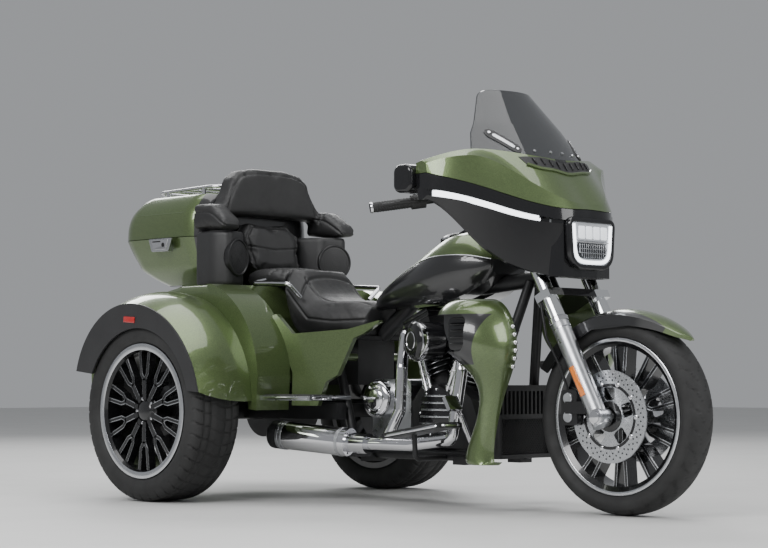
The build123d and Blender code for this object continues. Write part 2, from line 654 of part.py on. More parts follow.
# Lower fairings beside the downtubes
lower_table = [
    # z, rear x, front x, inner y, outer y
    (704, 1180, 1310, 236, 300),
    (668, 1130, 1362, 224, 352),
    (545, 1160, 1400, 224, 372),
    (480, 1226, 1386, 224, 330),
    (410, 1262, 1356, 224, 286),
    (168, 1262, 1336, 226, 262),
]


def lower_section(z, back, front, inner, outer):
    def at(px, py):
        return (REAR_X + px, py, z)

    heel = at(back, -inner - 0.6 * (outer - inner))
    bow = ThreePointArc(at(front, -inner), at(front - 0.32 * (front - back), -outer), heel)
    return make_face([bow, Line(heel, at(back, -inner)), Line(at(back, -inner), at(front, -inner))])


glove = loft([lower_section(*row) for row in lower_table])
pocket = block(REAR_X + 1080, REAR_X + 1306, -420, -278, 530, 652)
pocket = fillet(pocket.edges().filter_by(Axis.Y), 34)
end_cut = rod((LOWER_BRACKET[0] - 63, -88, 490), (LOWER_BRACKET[0], -228, LOWER_BRACKET[1]), 12 + SEAT)
lower_fairing = solid_of(glove - pocket - end_cut)
lower_fairings = both(lower_fairing)

# Oil cooler and cowl ahead of the downtubes
COOLER_X = REAR_X + 1200.0
cooler = block(COOLER_X, COOLER_X + 42, -142, 142, 172, 420)
cooler = fillet(cooler.edges().filter_by(Axis.Z).filter_by(lambda e: e.center().X > COOLER_X + 20), 20)
for k in range(13):
    slot_y = -126 + 21 * k
    cooler = cooler - block(COOLER_X + 22, COOLER_X + 60, slot_y - 6, slot_y + 6, 322, 400)
cooler = cooler - block(COOLER_X + 24, COOLER_X + 60, -122, 122, 186, 306)
rail_sleeve = pipe(cradle_path, 60, RAIL_R + SEAT)
radiator_cowl = solid_of(cooler - rail_sleeve - other_side(rail_sleeve))

# Boards and foot controls
board = Pos(REAR_X + 1060, -322, 268) * Rot(0, -9, 0) * Box(270, 112, 16)
STAY_X = REAR_X + 1010
board_stay = [(STAY_X, -RAIL_Y, RAIL_Z - 6), (STAY_X, -300, RAIL_Z - 6), (STAY_X, -306, 258)]
board = board + pipe(board_stay, 20, 9)
rider_boards = both(solid_of(board - rail_sleeve))
pboard = block(REAR_X + 380, REAR_X + 640, -446, -340, 366, 382)
pboard = pboard + rod((REAR_X + 520, -350, 374), (REAR_X + 520, -RAIL_Y, 374), 9)
passenger_boards = both(solid_of(pboard - rail_sleeve))
pedal_path = [(REAR_X + 1150, -RAIL_Y - RAIL_R + 8, RAIL_Z + 4)]
pedal_path += [(REAR_X + 1160, -240, 322), (REAR_X + 1206, -318, 356)]
pedal = pipe(pedal_path, 20, 9)
pedal = pedal + (Pos(REAR_X + 1210, -330, 360) * Rot(0, -30, 0) * Box(14, 60, 50))
foot_controls = both(solid_of(pedal - rail_sleeve))

# Rear axle with its differential, and the swing arm that carries it
axle = tube_y(-REAR_TRACK / 2 + 60, REAR_TRACK / 2 - 60, 36, REAR_X, REAR_TYRE_R)
axle = axle + tube_y(-REAR_TRACK / 2 - 56, REAR_TRACK / 2 + 56, REAR_STUB_R, REAR_X, REAR_TYRE_R)
axle = axle + tube_y(-96, 96, 104, REAR_X, REAR_TYRE_R)
caliper_block = block(REAR_X + 70, REAR_X + 130, -REAR_TRACK / 2 + 38, -REAR_TRACK / 2 + 74, 290, 362)
rear_slot = tube_y(-REAR_TRACK / 2 + 14, -REAR_TRACK / 2 + 34, 170, REAR_X, REAR_TYRE_R)
caliper_arm = block(REAR_X, REAR_X + 90, -REAR_TRACK / 2 + 62, -REAR_TRACK / 2 + 74, 306, 346)
caliper_block = caliper_block - rear_slot + caliper_arm
rear_axle = axle + caliper_block + other_side(caliper_block)
PIVOT_X = REAR_X + 508.0
arm = block(REAR_X - 50, PIVOT_X + 30, -212, -172, 296, 356)
arm = arm - tube_y(-300, 0, 36 + SEAT, REAR_X, REAR_TYRE_R)
arm = arm + tube_y(-180, -RAIL_Y, 20, PIVOT_X, 330)
arm = arm - rail_sleeve
arm = solid_of(arm)
cross = block(REAR_X + 300, REAR_X + 350, -200, 200, 300, 350)
swing_arm = arm + cross + other_side(arm)

# Trunk: a hollow tub open at the back, with solid corner panels ahead of the fenders
AXLE_FLOOR = 440.0
TAIL_FLOOR = 372.0
tub_side = [(164, AXLE_FLOOR), (164, 670), (120, DECK_Z), (-60, DECK_Z), (-200, 762), (-300, 738)]
tub_side += [(-400, 702), (-560, 634), (-578, 612), (-578, TAIL_FLOOR)]
tub_side += [(-172, TAIL_FLOOR), (-132, AXLE_FLOOR)]
tub = plate(from_rear(tub_side), -TRUNK_HALF, TRUNK_HALF)
top_edges = tub.edges().filter_by(lambda e: e.center().Z > 615 and abs(abs(e.center().Y) - TRUNK_HALF) < 1)
tub = fillet(top_edges.filter_by(lambda e: e.center().X < REAR_X + 110), 34)
ROOM_FRONT = 164 - TRUNK_WALL
ROOM_TOP = DECK_Z - TRUNK_WALL
room_side = [(ROOM_FRONT, AXLE_FLOOR + TRUNK_WALL), (ROOM_FRONT, 664), (110, ROOM_TOP), (-62, ROOM_TOP)]
room_side += [(-203, 762 - TRUNK_WALL), (-304, 737 - TRUNK_WALL), (-560, 617), (-620, 617)]
room_side += [(-620, TAIL_FLOOR + TRUNK_WALL), (-178, TAIL_FLOOR + TRUNK_WALL)]
room_side += [(-138, AXLE_FLOOR + TRUNK_WALL)]
ROOM_HALF = TRUNK_HALF - 26
tub = tub - plate(from_rear(room_side), -ROOM_HALF, ROOM_HALF)


def corner_at(px, pz):
    return (REAR_X + px, -TRUNK_HALF, pz)


corner_bow = ThreePointArc(corner_at(126, DECK_Z), corner_at(306, 664), corner_at(385, 450))
corner_rest = Polyline(
    corner_bow @ 1, corner_at(376, 330), corner_at(200, 345), corner_at(160, 440), corner_at(160, 660),
    corner_at(100, DECK_Z), corner_bow @ 0,
)
corner = extrude(make_face([corner_bow, corner_rest]), amount=TRUNK_HALF - 306, dir=(0, 1, 0))
corner = corner - tube_y(-800, -300, WHEEL_WELL_R, REAR_X, REAR_TYRE_R)
side_covers = both(solid_of(cover - corner - Pos(SEAT, SEAT, 0) * corner))
PAD_TOP = BOX_FLOOR_Z - SEAT
pad_side = [(-430, 682), (-430, PAD_TOP), (-160, PAD_TOP), (-160, 762), (-200, 755), (-300, 731), (-400, 695)]
box_pad = plate(from_rear(pad_side), -150, -104)
GATE_HINGE = (REAR_X - 604.0, TAIL_FLOOR + 12)
trunk_body = tub + corner + other_side(corner) + box_pad + other_side(box_pad)
for ear_y in (-300, 0, 300):
    ear = block(GATE_HINGE[0] - 10, REAR_X - 570, ear_y - 14, ear_y + 14, TAIL_FLOOR + 1, TAIL_FLOOR + 23)
    trunk_body = trunk_body + ear
gate_pin = tube_y(-360, 360, HINGE_R, GATE_HINGE[0], GATE_HINGE[1])
trunk_body = trunk_body + gate_pin

GATE_LOW = TAIL_FLOOR + 36
gate_side = [(-584, GATE_LOW), (-584, 606), (-596, 598), (-606, 500), (-602, GATE_LOW)]
tailgate = plate(from_rear(gate_side), -TRUNK_HALF + 4, TRUNK_HALF - 4)
for knuckle_y in (-330, -160, 160, 330):
    knuckle = tube_y(knuckle_y - 12, knuckle_y + 12, 10, GATE_HINGE[0], GATE_HINGE[1])
    leaf_x = (GATE_HINGE[0] - 6, GATE_HINGE[0] + 8)
    leaf = block(*leaf_x, knuckle_y - 12, knuckle_y + 12, GATE_HINGE[1], GATE_LOW + 6)
    tailgate = tailgate + knuckle + leaf
tailgate = tailgate - tube_y(-400, 400, HINGE_R + RUN, GATE_HINGE[0], GATE_HINGE[1])

# Rear fenders: arches lofted out from the trunk sides, closed by dark flares
arch_table = [
    # y, crown z, front x, front z, rear x, rear z
    (TRUNK_HALF + SEAT, 756, 354, 362, -404, 470),
    (640, 742, 352, 378, -394, 470),
    (FLARE_IN - SEAT, 714, 344, 395, -362, 470),
]
CROWN_X = -50.0


def arch_outline(y, crown, front_x, front_z, rear_x, rear_z):
    top = (REAR_X + CROWN_X, -y, crown)
    front = TangentArc(top, (REAR_X + front_x, -y, front_z), tangent=(1, 0, 0))
    back = TangentArc(top, (REAR_X + rear_x, -y, rear_z), tangent=(-1, 0, 0))
    return make_face([front, back, Line(front @ 1, back @ 1)])


shell = loft([arch_outline(*row) for row in arch_table])
well = tube_y(-800, -400, WHEEL_WELL_R, REAR_X, REAR_TYRE_R)
fender = solid_of(shell - well)
rear_fenders = both(fender)
flare_face = extrude(arch_outline(FLARE_IN, *arch_table[2][1:]), amount=FLARE_T, dir=(0, -1, 0))
flare_face = flare_face - tube_y(-800, -400, FLARE_OPENING_R, REAR_X, REAR_TYRE_R)
fender_flares = both(solid_of(flare_face))
tail_lamp = block(REAR_X - 398, REAR_X - 320, -632, -528, 500, 600)
tail_lamp = fillet(tail_lamp.edges().filter_by(Axis.X), 24)
tail_lamp = solid_of(tail_lamp - fender - well)
rear_lamps = both(tail_lamp)


# Top box: hollow base and lid meeting at the seam
def box_section(x0, x1, half, radius, z):
    centre = Pos((x0 + x1) / 2 + REAR_X, 0, z)
    return centre * RectangleRounded(x1 - x0, 2 * half, radius)


BOX_FRONT = -142.0
BOX_REAR = -650.0
base_rows = [
    (-470, BOX_FRONT, 215, 80, BOX_FLOOR_Z),
    (-580, BOX_FRONT, 264, 96, BOX_FLOOR_Z + 62),
    (BOX_REAR, BOX_FRONT, BOX_HALF, 110, BOX_SEAM_Z),
]


def inside_row(rear, front, half, radius, z, open_z, rise):
    lift = 1 if z == open_z else BOX_WALL
    return (rear + BOX_WALL, front - BOX_WALL, half - BOX_WALL, radius - BOX_WALL, z + rise * lift)


base_room = [inside_row(*row, BOX_SEAM_Z, 1) for row in base_rows]
box_base = loft([box_section(*row) for row in base_rows], ruled=True)
box_base = box_base - loft([box_section(*row) for row in base_room], ruled=True)
LID_Z = BOX_SEAM_Z + MOVE
lid_rows = [
    (BOX_REAR, BOX_FRONT, BOX_HALF, 110, LID_Z),
    (BOX_REAR + 14, BOX_FRONT, BOX_HALF - 8, 110, LID_Z + 90),
    (BOX_REAR + 90, BOX_FRONT - 10, BOX_HALF - 62, 90, BOX_TOP_Z),
]
lid_room = [inside_row(*row, LID_Z, -1) for row in lid_rows]
box_lid = loft([box_section(*row) for row in lid_rows], ruled=True)
box_lid = box_lid - loft([box_section(*row) for row in lid_room], ruled=True)
LID_HINGE = (BOX_HALF + 16.0, BOX_SEAM_Z + MOVE / 2)


def hinge_rod(x_from, x_to, radius):
    return rod((REAR_X + x_from, *LID_HINGE), (REAR_X + x_to, *LID_HINGE), radius)


for ear_x in (-520, -250):
    ear_ends = (REAR_X + ear_x - 12, REAR_X + ear_x + 12)
    ear = block(*ear_ends, BOX_HALF - 8, LID_HINGE[0] + 8, LID_HINGE[1] - 26, LID_HINGE[1])
    ear = ear + hinge_rod(ear_x - 12, ear_x + 12, KNUCKLE_R)
    ear = ear - block(REAR_X - 700, REAR_X, BOX_HALF - 60, BOX_HALF - 4, 900, BOX_SEAM_Z - 30)
    box_base = box_base + ear
hinge_pin = hinge_rod(-520, -250, HINGE_R)
lid_clear = hinge_rod(-700, 0, HINGE_R + RUN)
top_box_base = box_base + hinge_pin
for knuckle_x in (-440, -330):
    knuckle = hinge_rod(knuckle_x - 24, knuckle_x + 24, KNUCKLE_R)
    leaf_ends = (REAR_X + knuckle_x - 24, REAR_X + knuckle_x + 24)
    leaf = block(*leaf_ends, BOX_HALF - 6, LID_HINGE[0] + 6, LID_HINGE[1] + 4, LID_HINGE[1] + 26)
    box_lid = box_lid + knuckle + leaf
top_box_lid = box_lid - lid_clear
latch = block(REAR_X - 372, REAR_X - 316, -320, -270, 935, 980)
top_box_latch = solid_of(latch - loft([box_section(*row) for row in base_rows], ruled=True))
box_lamp = block(TAIL_X, REAR_X - 560, -150, 150, 925, 965)
top_box_lamp = solid_of(box_lamp - loft([box_section(*row) for row in base_rows], ruled=True))

# Luggage rack on the lid
RACK_Z = BOX_TOP_Z + 30
rail_path = [(REAR_X - 572, -20, RACK_Z), (REAR_X - 572, -170, RACK_Z)]
rail_path += [(REAR_X - 190, -170, RACK_Z + 8), (REAR_X - 190, -20, RACK_Z + 8)]
rail = pipe(rail_path, 60, 7)
rack = rail + other_side(rail)
rack = rack + rod((REAR_X - 572, -30, RACK_Z), (REAR_X - 572, 30, RACK_Z), 7)
rack = rack + rod((REAR_X - 190, -30, RACK_Z + 8), (REAR_X - 190, 30, RACK_Z + 8), 7)
for bar_x in (-470, -380, -290):
    rack = rack + rod((REAR_X + bar_x, -170, RACK_Z + 3), (REAR_X + bar_x, 170, RACK_Z + 3), 6)
for post_x in (-490, -270):
    for post_y in (-170, 170):
        post_foot = (REAR_X + post_x, post_y, BOX_TOP_Z + SEAT)
        rack = rack + rod(post_foot, (REAR_X + post_x, post_y, RACK_Z + 3), 8)
luggage_rack = rack

# Backrest with its arm rests, lumbar pad and speaker pods, fixed to the box front
BACK_X = REAR_X + BOX_FRONT + SEAT
back_half = [(262, 1052), (262, 1104), (228, 1165), (206, 1218), (160, 1254), (80, 1270)]
back_face = back_half + [(-y, z) for y, z in reversed(back_half)]
backrest = extrude(rounded([(BACK_X, y, z) for y, z in back_face], 20), amount=80, dir=(1, 0, 0))
backrest = fillet(backrest.faces().sort_by(Axis.X)[-1].edges(), 18)
arm_side = [(0, 1104), (110, 1100), (190, 1052), (212, 1022), (196, 998), (0, 998)]
arm_rest = plate([(BACK_X + px, pz) for px, pz in arm_side], 246, 348)
arm_rest = fillet(arm_rest.edges().filter_by(lambda e: e.center().X > BACK_X + 20), 22)
backrest = backrest + arm_rest + other_side(arm_rest)
lumbar_side = [(0, 1050), (56, 1050), (84, 990), (112, 862), (96, 826), (0, 826)]
lumbar_half = [(86, 826), (128, 868), (150, 996), (104, 1050)]
lumbar_face = lumbar_half + [(-y, z) for y, z in reversed(lumbar_half)]
lumbar_pad = extrude(rounded([(BACK_X, y, z) for y, z in lumbar_face], 14), amount=140, dir=(1, 0, 0))
lumbar_pad = lumbar_pad & plate([(BACK_X + px, pz) for px, pz in lumbar_side], -200, 200)
pod_plan = [(0, 156), (0, 322), (120, 336), (182, 300), (150, 200), (40, 156)]
pod = extrude(rounded([(BACK_X + px, -py, 792) for px, py in pod_plan], 14), amount=997 - 792, dir=(0, 0, 1))
speaker_pods = both(pod)

# Grab rails beside the pillion
grab_path = [(REAR_X + 100, -176, 812), (REAR_X + 100, -236, 800)]
grab_path += [(REAR_X + 296, -236, 790), (REAR_X + 296, -176, 742)]
grab = pipe(grab_path, 16, 8)
grab_rails = both(grab - passenger_seat - rider_seat)

nodes = {
    "front_tyre": front_tyre,
    "front_rim": front_rim,
    "front_discs": front_discs,
    "rear_tyre_right": rear_tyre_right,
    "rear_rim_right": rear_rim_right,
    "rear_tyre_left": rear_tyre_left,
    "rear_rim_left": rear_rim_left,
    "fork_stem": fork_stem,
    "fork_legs": fork_legs,
    "front_fender": front_fender,
    "front_calipers": front_calipers,
    "fairing_cap": fairing_cap,
    "fairing_lower": fairing_lower,
    "windscreen": windscreen,
    "headlamp": headlamp,
    "light_strips": light_strips,
    "dash": dash,
    "mirrors": mirrors,
    "handlebar": handlebar,
    "hand_controls": hand_controls,
    "frame": frame,
    "crankcase": crankcase,
    "cylinders": cylinders,
    "gearbox": gearbox,
    "primary_cover": primary_cover,
    "air_cleaner": air_cleaner,
    "exhaust": exhaust,
    "fuel_tank": fuel_tank,
    "tank_console": tank_console,
    "rider_seat": rider_seat,
    "passenger_seat": passenger_seat,
    "battery_box": battery_box,
    "side_covers": side_covers,
    "lower_fairings": lower_fairings,
    "radiator_cowl": radiator_cowl,
    "rider_boards": rider_boards,
    "passenger_boards": passenger_boards,
    "foot_controls": foot_controls,
    "rear_axle": rear_axle,
    "swing_arm": swing_arm,
    "trunk_body": trunk_body,
    "tailgate": tailgate,
    "rear_fenders": rear_fenders,
    "fender_flares": fender_flares,
    "rear_lamps": rear_lamps,
    "top_box_base": top_box_base,
    "top_box_lid": top_box_lid,
    "top_box_latch": top_box_latch,
    "top_box_lamp": top_box_lamp,
    "luggage_rack": luggage_rack,
    "backrest": backrest,
    "lumbar_pad": lumbar_pad,
    "speaker_pods": speaker_pods,
    "grab_rails": grab_rails,
}
os.makedirs("parts", exist_ok=True)
for name, shape in nodes.items():
    export_step(shape, f"parts/{name}.step")
    print(name, len(shape.solids()), round(sum(s.volume for s in shape.solids()) / 1000))
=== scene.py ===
import math
import bpy
import numpy as np
import bmesh
from mathutils import Matrix, Vector
from mathutils.bvhtree import BVHTree


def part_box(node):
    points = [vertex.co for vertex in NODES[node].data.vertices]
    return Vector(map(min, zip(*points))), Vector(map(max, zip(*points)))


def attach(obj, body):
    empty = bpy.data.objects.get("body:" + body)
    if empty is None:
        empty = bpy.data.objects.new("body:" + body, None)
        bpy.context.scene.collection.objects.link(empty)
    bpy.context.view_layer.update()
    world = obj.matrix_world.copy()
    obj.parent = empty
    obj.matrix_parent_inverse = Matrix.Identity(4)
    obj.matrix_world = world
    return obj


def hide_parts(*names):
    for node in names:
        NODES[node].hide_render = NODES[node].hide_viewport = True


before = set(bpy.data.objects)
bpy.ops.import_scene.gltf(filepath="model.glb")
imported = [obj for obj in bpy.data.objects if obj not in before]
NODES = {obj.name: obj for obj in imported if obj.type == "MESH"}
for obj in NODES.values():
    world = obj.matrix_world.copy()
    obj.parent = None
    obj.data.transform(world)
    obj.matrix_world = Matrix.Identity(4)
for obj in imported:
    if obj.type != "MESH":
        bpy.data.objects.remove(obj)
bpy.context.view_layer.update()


def middle(name):
    # centre of a node's box, to a tenth of a millimetre
    low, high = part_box(name)
    return Vector([round((a + b) / 2, 4) for a, b in zip(low, high)])


FRONT_C = middle("front_tyre")
REAR_C = middle("rear_tyre_right")
FRONT = round(FRONT_C.x, 4)
REAR = round(REAR_C.x, 4)
RIGHT = (0, -1, 0)
SIDES = ((-1, "right"), (1, "left"))


def X(mm):
    # metres along the part from millimetres ahead of the rear axle
    return REAR + mm / 1000.0


# Materials
def material(name, colour, rough=0.4, metal=0.0, vary=0.0, grain=8.0, wear=0.0,
             bump=0.0, bump_scale=400.0, cells=False, coat=0.0, flake=0.0, spec=0.5, **extra):
    m = bpy.data.materials.new(name)
    m.use_nodes = True
    t = m.node_tree
    p = t.nodes["Principled BSDF"]
    p.inputs["Base Color"].default_value = (*colour, 1)
    plain = {"Roughness": rough, "Metallic": metal, "Specular IOR Level": spec,
             "Coat Weight": coat, "Coat Roughness": 0.03}
    for label, value in {**plain, **extra}.items():
        p.inputs[label.replace("_", " ")].default_value = value
    where = t.nodes.new("ShaderNodeTexCoord").outputs["Object"]

    def speckle(scale, detail=4.0):
        n = t.nodes.new("ShaderNodeTexNoise")
        n.inputs["Scale"].default_value = scale
        n.inputs["Detail"].default_value = detail
        t.links.new(where, n.inputs["Vector"])
        return n.outputs["Fac"]

    def voronoi(scale, feature="F1"):
        v = t.nodes.new("ShaderNodeTexVoronoi")
        v.feature = feature
        v.inputs["Scale"].default_value = scale
        t.links.new(where, v.inputs["Vector"])
        return v

    def ramp(source, low, high, socket, a=0.3, b=0.7):
        r = t.nodes.new("ShaderNodeMapRange")
        for label, value in (("From Min", a), ("From Max", b), ("To Min", low), ("To Max", high)):
            r.inputs[label].default_value = value
        t.links.new(source, r.inputs["Value"])
        t.links.new(r.outputs["Result"], socket)

    if vary or flake:
        mix = t.nodes.new("ShaderNodeMix")
        mix.data_type = "RGBA"
        k = max(vary, flake)
        mix.inputs[6].default_value = (*[c * (1 - k) for c in colour], 1)
        mix.inputs[7].default_value = (*[min(1, c * (1 + k)) for c in colour], 1)
        if flake:
            parts = t.nodes.new("ShaderNodeSeparateColor")
            t.links.new(voronoi(900.0).outputs["Color"], parts.inputs["Color"])
            ramp(parts.outputs["Red"], 0, 1, mix.inputs[0], 0, 1.0)
        else:
            ramp(speckle(grain), 0, 1, mix.inputs[0])
        t.links.new(mix.outputs[2], p.inputs["Base Color"])
    if wear:
        ramp(speckle(grain * 3), rough - wear, rough + wear, p.inputs["Roughness"])
    if bump:
        b = t.nodes.new("ShaderNodeBump")
        b.inputs["Strength"].default_value = bump
        b.inputs["Distance"].default_value = 0.001
        if cells:
            height = voronoi(bump_scale, "DISTANCE_TO_EDGE").outputs["Distance"]
        else:
            height = speckle(bump_scale, 2.0)
        t.links.new(height, b.inputs["Height"])
        t.links.new(b.outputs["Normal"], p.inputs["Normal"])
    return m


def body_paint(name):
    return material(name, (0.105, 0.15, 0.056), 0.3, 0.62, coat=1.0, flake=0.3)


COAL = (0.008, 0.008, 0.009)
OLIVE = body_paint("olive_paint")
BLACK = material("gloss_black", COAL, 0.16, wear=0.03, coat=0.5, spec=0.35)
DARK = material("dark_plastic", (0.022, 0.022, 0.023), 0.48, vary=0.15, wear=0.06,
                bump=0.25, bump_scale=1500)
TYRE = material("tyre_rubber", (0.018, 0.018, 0.018), 0.72, vary=0.25, wear=0.08,
                bump=0.3, bump_scale=900)
RIM = material("rim_black", (0.012, 0.012, 0.013), 0.22, 0.3, wear=0.05, coat=0.7)
CHROME = material("chrome_metal", (0.72, 0.72, 0.74), 0.07, 1.0, wear=0.025)
SILVER = material("silver_metal", (0.55, 0.56, 0.58), 0.3, 1.0, vary=0.05, wear=0.06)
MACHINED = material("machined_metal", (0.62, 0.63, 0.65), 0.24, 1.0, vary=0.05, wear=0.05)
IRON = material("dark_metal", (0.015, 0.015, 0.016), 0.38, 0.2, vary=0.2, wear=0.08,
                bump=0.2, bump_scale=700)
STEEL = material("steel_disc", (0.6, 0.61, 0.63), 0.28, 1.0, vary=0.06, grain=60, wear=0.06)
LEATHER = material("seat_cover", (0.018, 0.018, 0.0185), 0.5, vary=0.18, grain=14, wear=0.07,
                   bump=0.35, bump_scale=420, cells=True)
RUBBER = material("rubber_black", (0.02, 0.02, 0.02), 0.62, vary=0.2, wear=0.08,
                  bump=0.3, bump_scale=600)
RED = material("lamp_red", (0.42, 0.012, 0.01), 0.12, vary=0.12, grain=60, wear=0.03, coat=1.0)
AMBER = material("lamp_amber", (0.75, 0.2, 0.02), 0.15, vary=0.12, grain=80, wear=0.03, coat=1.0)
LENS = material("lamp_lens", (0.55, 0.57, 0.6), 0.08, 0.2, vary=0.1, grain=70, wear=0.03, coat=1.0)
SCREEN = material("display_glass", (0.01, 0.012, 0.015), 0.08, vary=0.2, grain=30,
                  wear=0.02, coat=1.0)


def glow(name, colour, power):
    return material(name, (0.9, 0.92, 0.95), 0.2, vary=0.05, grain=90,
                    Emission_Color=(*colour, 1), Emission_Strength=power)


SMOKE = material("smoked_screen", (0.16, 0.165, 0.17), 0.02, wear=0.01,
                 Transmission_Weight=0.92, IOR=1.45)
HALO = glow("white_light", (0.92, 0.96, 1.0), 3.0)
CLEAR = glow("lens_light", (0.86, 0.92, 1.0), 0.7)


# Second colour: black wherever a * x + b * |y| + c * z is below d, for every (a, b, c, d) of the limits
def two_tone(m, limits):
    t = m.node_tree
    p = t.nodes["Principled BSDF"]
    split = t.nodes.new("ShaderNodeSeparateXYZ")
    t.links.new(t.nodes.new("ShaderNodeTexCoord").outputs["Object"], split.inputs["Vector"])

    def work(kind, a, b=0):
        n = t.nodes.new("ShaderNodeMath")
        n.operation = kind
        for socket, v in zip(n.inputs, (a, b)):
            if isinstance(v, (int, float)):
                socket.default_value = v
            else:
                t.links.new(v, socket)
        return n.outputs["Value"]

    own = (split.outputs["X"], work("ABSOLUTE", split.outputs["Y"]), split.outputs["Z"])
    mask = 1
    for *shares, limit in limits:
        total = 0
        for share, value in zip(shares, own):
            total = work("ADD", total, work("MULTIPLY", value, share))
        mask = work("MULTIPLY", mask, work("LESS_THAN", total, limit))
    mix = t.nodes.new("ShaderNodeMix")
    mix.data_type = "RGBA"
    first = p.inputs["Base Color"]
    mix.inputs[6].default_value = first.default_value
    for link in first.links:
        t.links.new(link.from_socket, mix.inputs[6])
    mix.inputs[7].default_value = (*COAL, 1)
    t.links.new(mask, mix.inputs[0])
    t.links.new(mix.outputs[2], first)
    metal = p.inputs["Metallic"]
    t.links.new(work("MULTIPLY", work("SUBTRACT", 1, mask), metal.default_value), metal)
    return m


BOX_BLACK_FROM = X(-190)
STEM_BLACK_HALF = 0.084
RIDGE_HALF = 0.052
SCOOP_OUT = 0.262
SCOOP_LOW, SCOOP_TOP = 0.488, 0.6535
SCOOP_FRONT, SCOOP_LEAN = X(1195), 0.25
scoop_area = [(0, -1, 0, -SCOOP_OUT), (0, 0, -1, -SCOOP_LOW), (0, 0, 1, SCOOP_TOP),
              (1, 0, -SCOOP_LEAN, SCOOP_FRONT)]
tank_mm = [(604, 720), (680, 768), (760, 810), (850, 845), (930, 862), (1020, 867), (1100, 863), (1165, 850)]
TANK_LINE = [(X(x), z / 1000) for x, z in tank_mm]
# the line bows up, so a point is below it when it is below every stretch of it
below_line = []
for (xa, za), (xb, zb) in zip(TANK_LINE[:-1], TANK_LINE[1:]):
    slope = (zb - za) / (xb - xa)
    below_line.append((-slope, 0, 1, za - slope * xa))
FENDER = two_tone(body_paint("fender_paint"), [(0, -1, 0, -RIDGE_HALF)])
SCOOP = two_tone(body_paint("scoop_paint"), scoop_area)
TANK = two_tone(body_paint("tank_paint"), below_line)
BOX = two_tone(body_paint("box_paint"), [(-1, 0, 0, -BOX_BLACK_FROM)])
STEM = two_tone(material("stem_metal", (0.86, 0.87, 0.88), 0.08, 1.0), [(0, 1, 0, STEM_BLACK_HALF)])

PAINTED = {
    FENDER: "front_fender",
    SCOOP: "lower_fairings",
    TANK: "fuel_tank",
    BOX: "top_box_base top_box_lid",
    OLIVE: "fairing_cap side_covers trunk_body tailgate rear_fenders",
    BLACK: "fairing_lower mirrors air_cleaner tank_console",
    DARK: "dash battery_box radiator_cowl fender_flares speaker_pods",
    TYRE: "front_tyre rear_tyre_right rear_tyre_left",
    RIM: "front_rim rear_rim_right rear_rim_left",
    STEEL: "front_discs",
    STEM: "fork_stem",
    CHROME: "primary_cover exhaust luggage_rack foot_controls grab_rails",
    SILVER: "fork_legs gearbox passenger_boards top_box_latch",
    IRON: "front_calipers handlebar frame crankcase cylinders rider_boards rear_axle swing_arm",
    LEATHER: "rider_seat passenger_seat backrest lumbar_pad",
    RUBBER: "hand_controls",
    SMOKE: "windscreen",
    LENS: "headlamp",
    HALO: "light_strips",
    RED: "rear_lamps top_box_lamp",
}
for mat, names in PAINTED.items():
    for name in names.split():
        for s in NODES[name].material_slots:
            s.material = mat


# Mesh helpers: each maker returns points and faces, and piece turns them into an object on a body
def add(name, data):
    o = bpy.data.objects.new(name, data)
    bpy.context.scene.collection.objects.link(o)
    return o


def piece(name, data, mat, body="chassis", sharp=35.0, bevel=0.0):
    verts, faces = data
    me = bpy.data.meshes.new(name)
    me.from_pydata([tuple(v) for v in verts], [], faces)
    me.validate()
    me.materials.append(mat)
    bm = bmesh.new()
    bm.from_mesh(me)
    bmesh.ops.remove_doubles(bm, verts=bm.verts, dist=1e-6)
    bmesh.ops.recalc_face_normals(bm, faces=bm.faces)
    bm.to_mesh(me)
    bm.free()
    o = add(name, me)
    if bevel:
        b = o.modifiers.new("edge", "BEVEL")
        b.width = bevel
        b.segments = 3
        b.limit_method = "ANGLE"
        bake(o)
    for p in o.data.polygons:
        p.use_smooth = True
    o.data.set_sharp_from_angle(angle=math.radians(sharp))
    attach(o, body)
    return o


def steered(name, data, mat, **more):
    # a piece that turns with the fork
    return piece(name, data, mat, "steering", **more)


def bake(o):
    deps = bpy.context.evaluated_depsgraph_get()
    me = bpy.data.meshes.new_from_object(o.evaluated_get(deps))
    o.modifiers.clear()
    o.data = me


def put(x, y, z, turn=0.0, axis="Y"):
    return Matrix.Translation((x, y, z)) @ Matrix.Rotation(math.radians(turn), 4, axis)


def frame_at(origin, axis):
    z = Vector(axis).normalized()
    x = z.orthogonal().normalized()
    if abs(z.z) < 0.9:
        x = Vector((0, 0, 1)).cross(z).normalized()
    return Matrix.Translation(Vector(origin)) @ Matrix((x, z.cross(x), z)).transposed().to_4x4()


def lathe(profile, origin, axis=RIGHT, seg=48):
    # a full turn of (along, radius) rows about an axis
    m = frame_at(origin, axis)
    verts, faces = [], []
    c = len(profile)
    for k in range(seg):
        a = math.tau * k / seg
        verts += [m @ Vector((r * math.cos(a), r * math.sin(a), h)) for h, r in profile]
        j = (k + 1) % seg
        faces += [(k * c + i, j * c + i, j * c + i + 1, k * c + i + 1) for i in range(c - 1)]
    return verts, faces


def join(parts):
    verts, faces = [], []
    for v, f in parts:
        b = len(verts)
        verts += v
        faces += [tuple(i + b for i in q) for q in f]
    return verts, faces


def loft(rings, caps=True):
    verts = [Vector(p) for r in rings for p in r]
    c = len(rings[0])
    faces = []
    for k in range(len(rings) - 1):
        for i in range(c):
            j = (i + 1) % c
            faces.append((k * c + i, k * c + j, (k + 1) * c + j, (k + 1) * c + i))
    if caps:
        faces.append(tuple(range(c)))
        faces.append(tuple((len(rings) - 1) * c + i for i in range(c)))
    return verts, faces


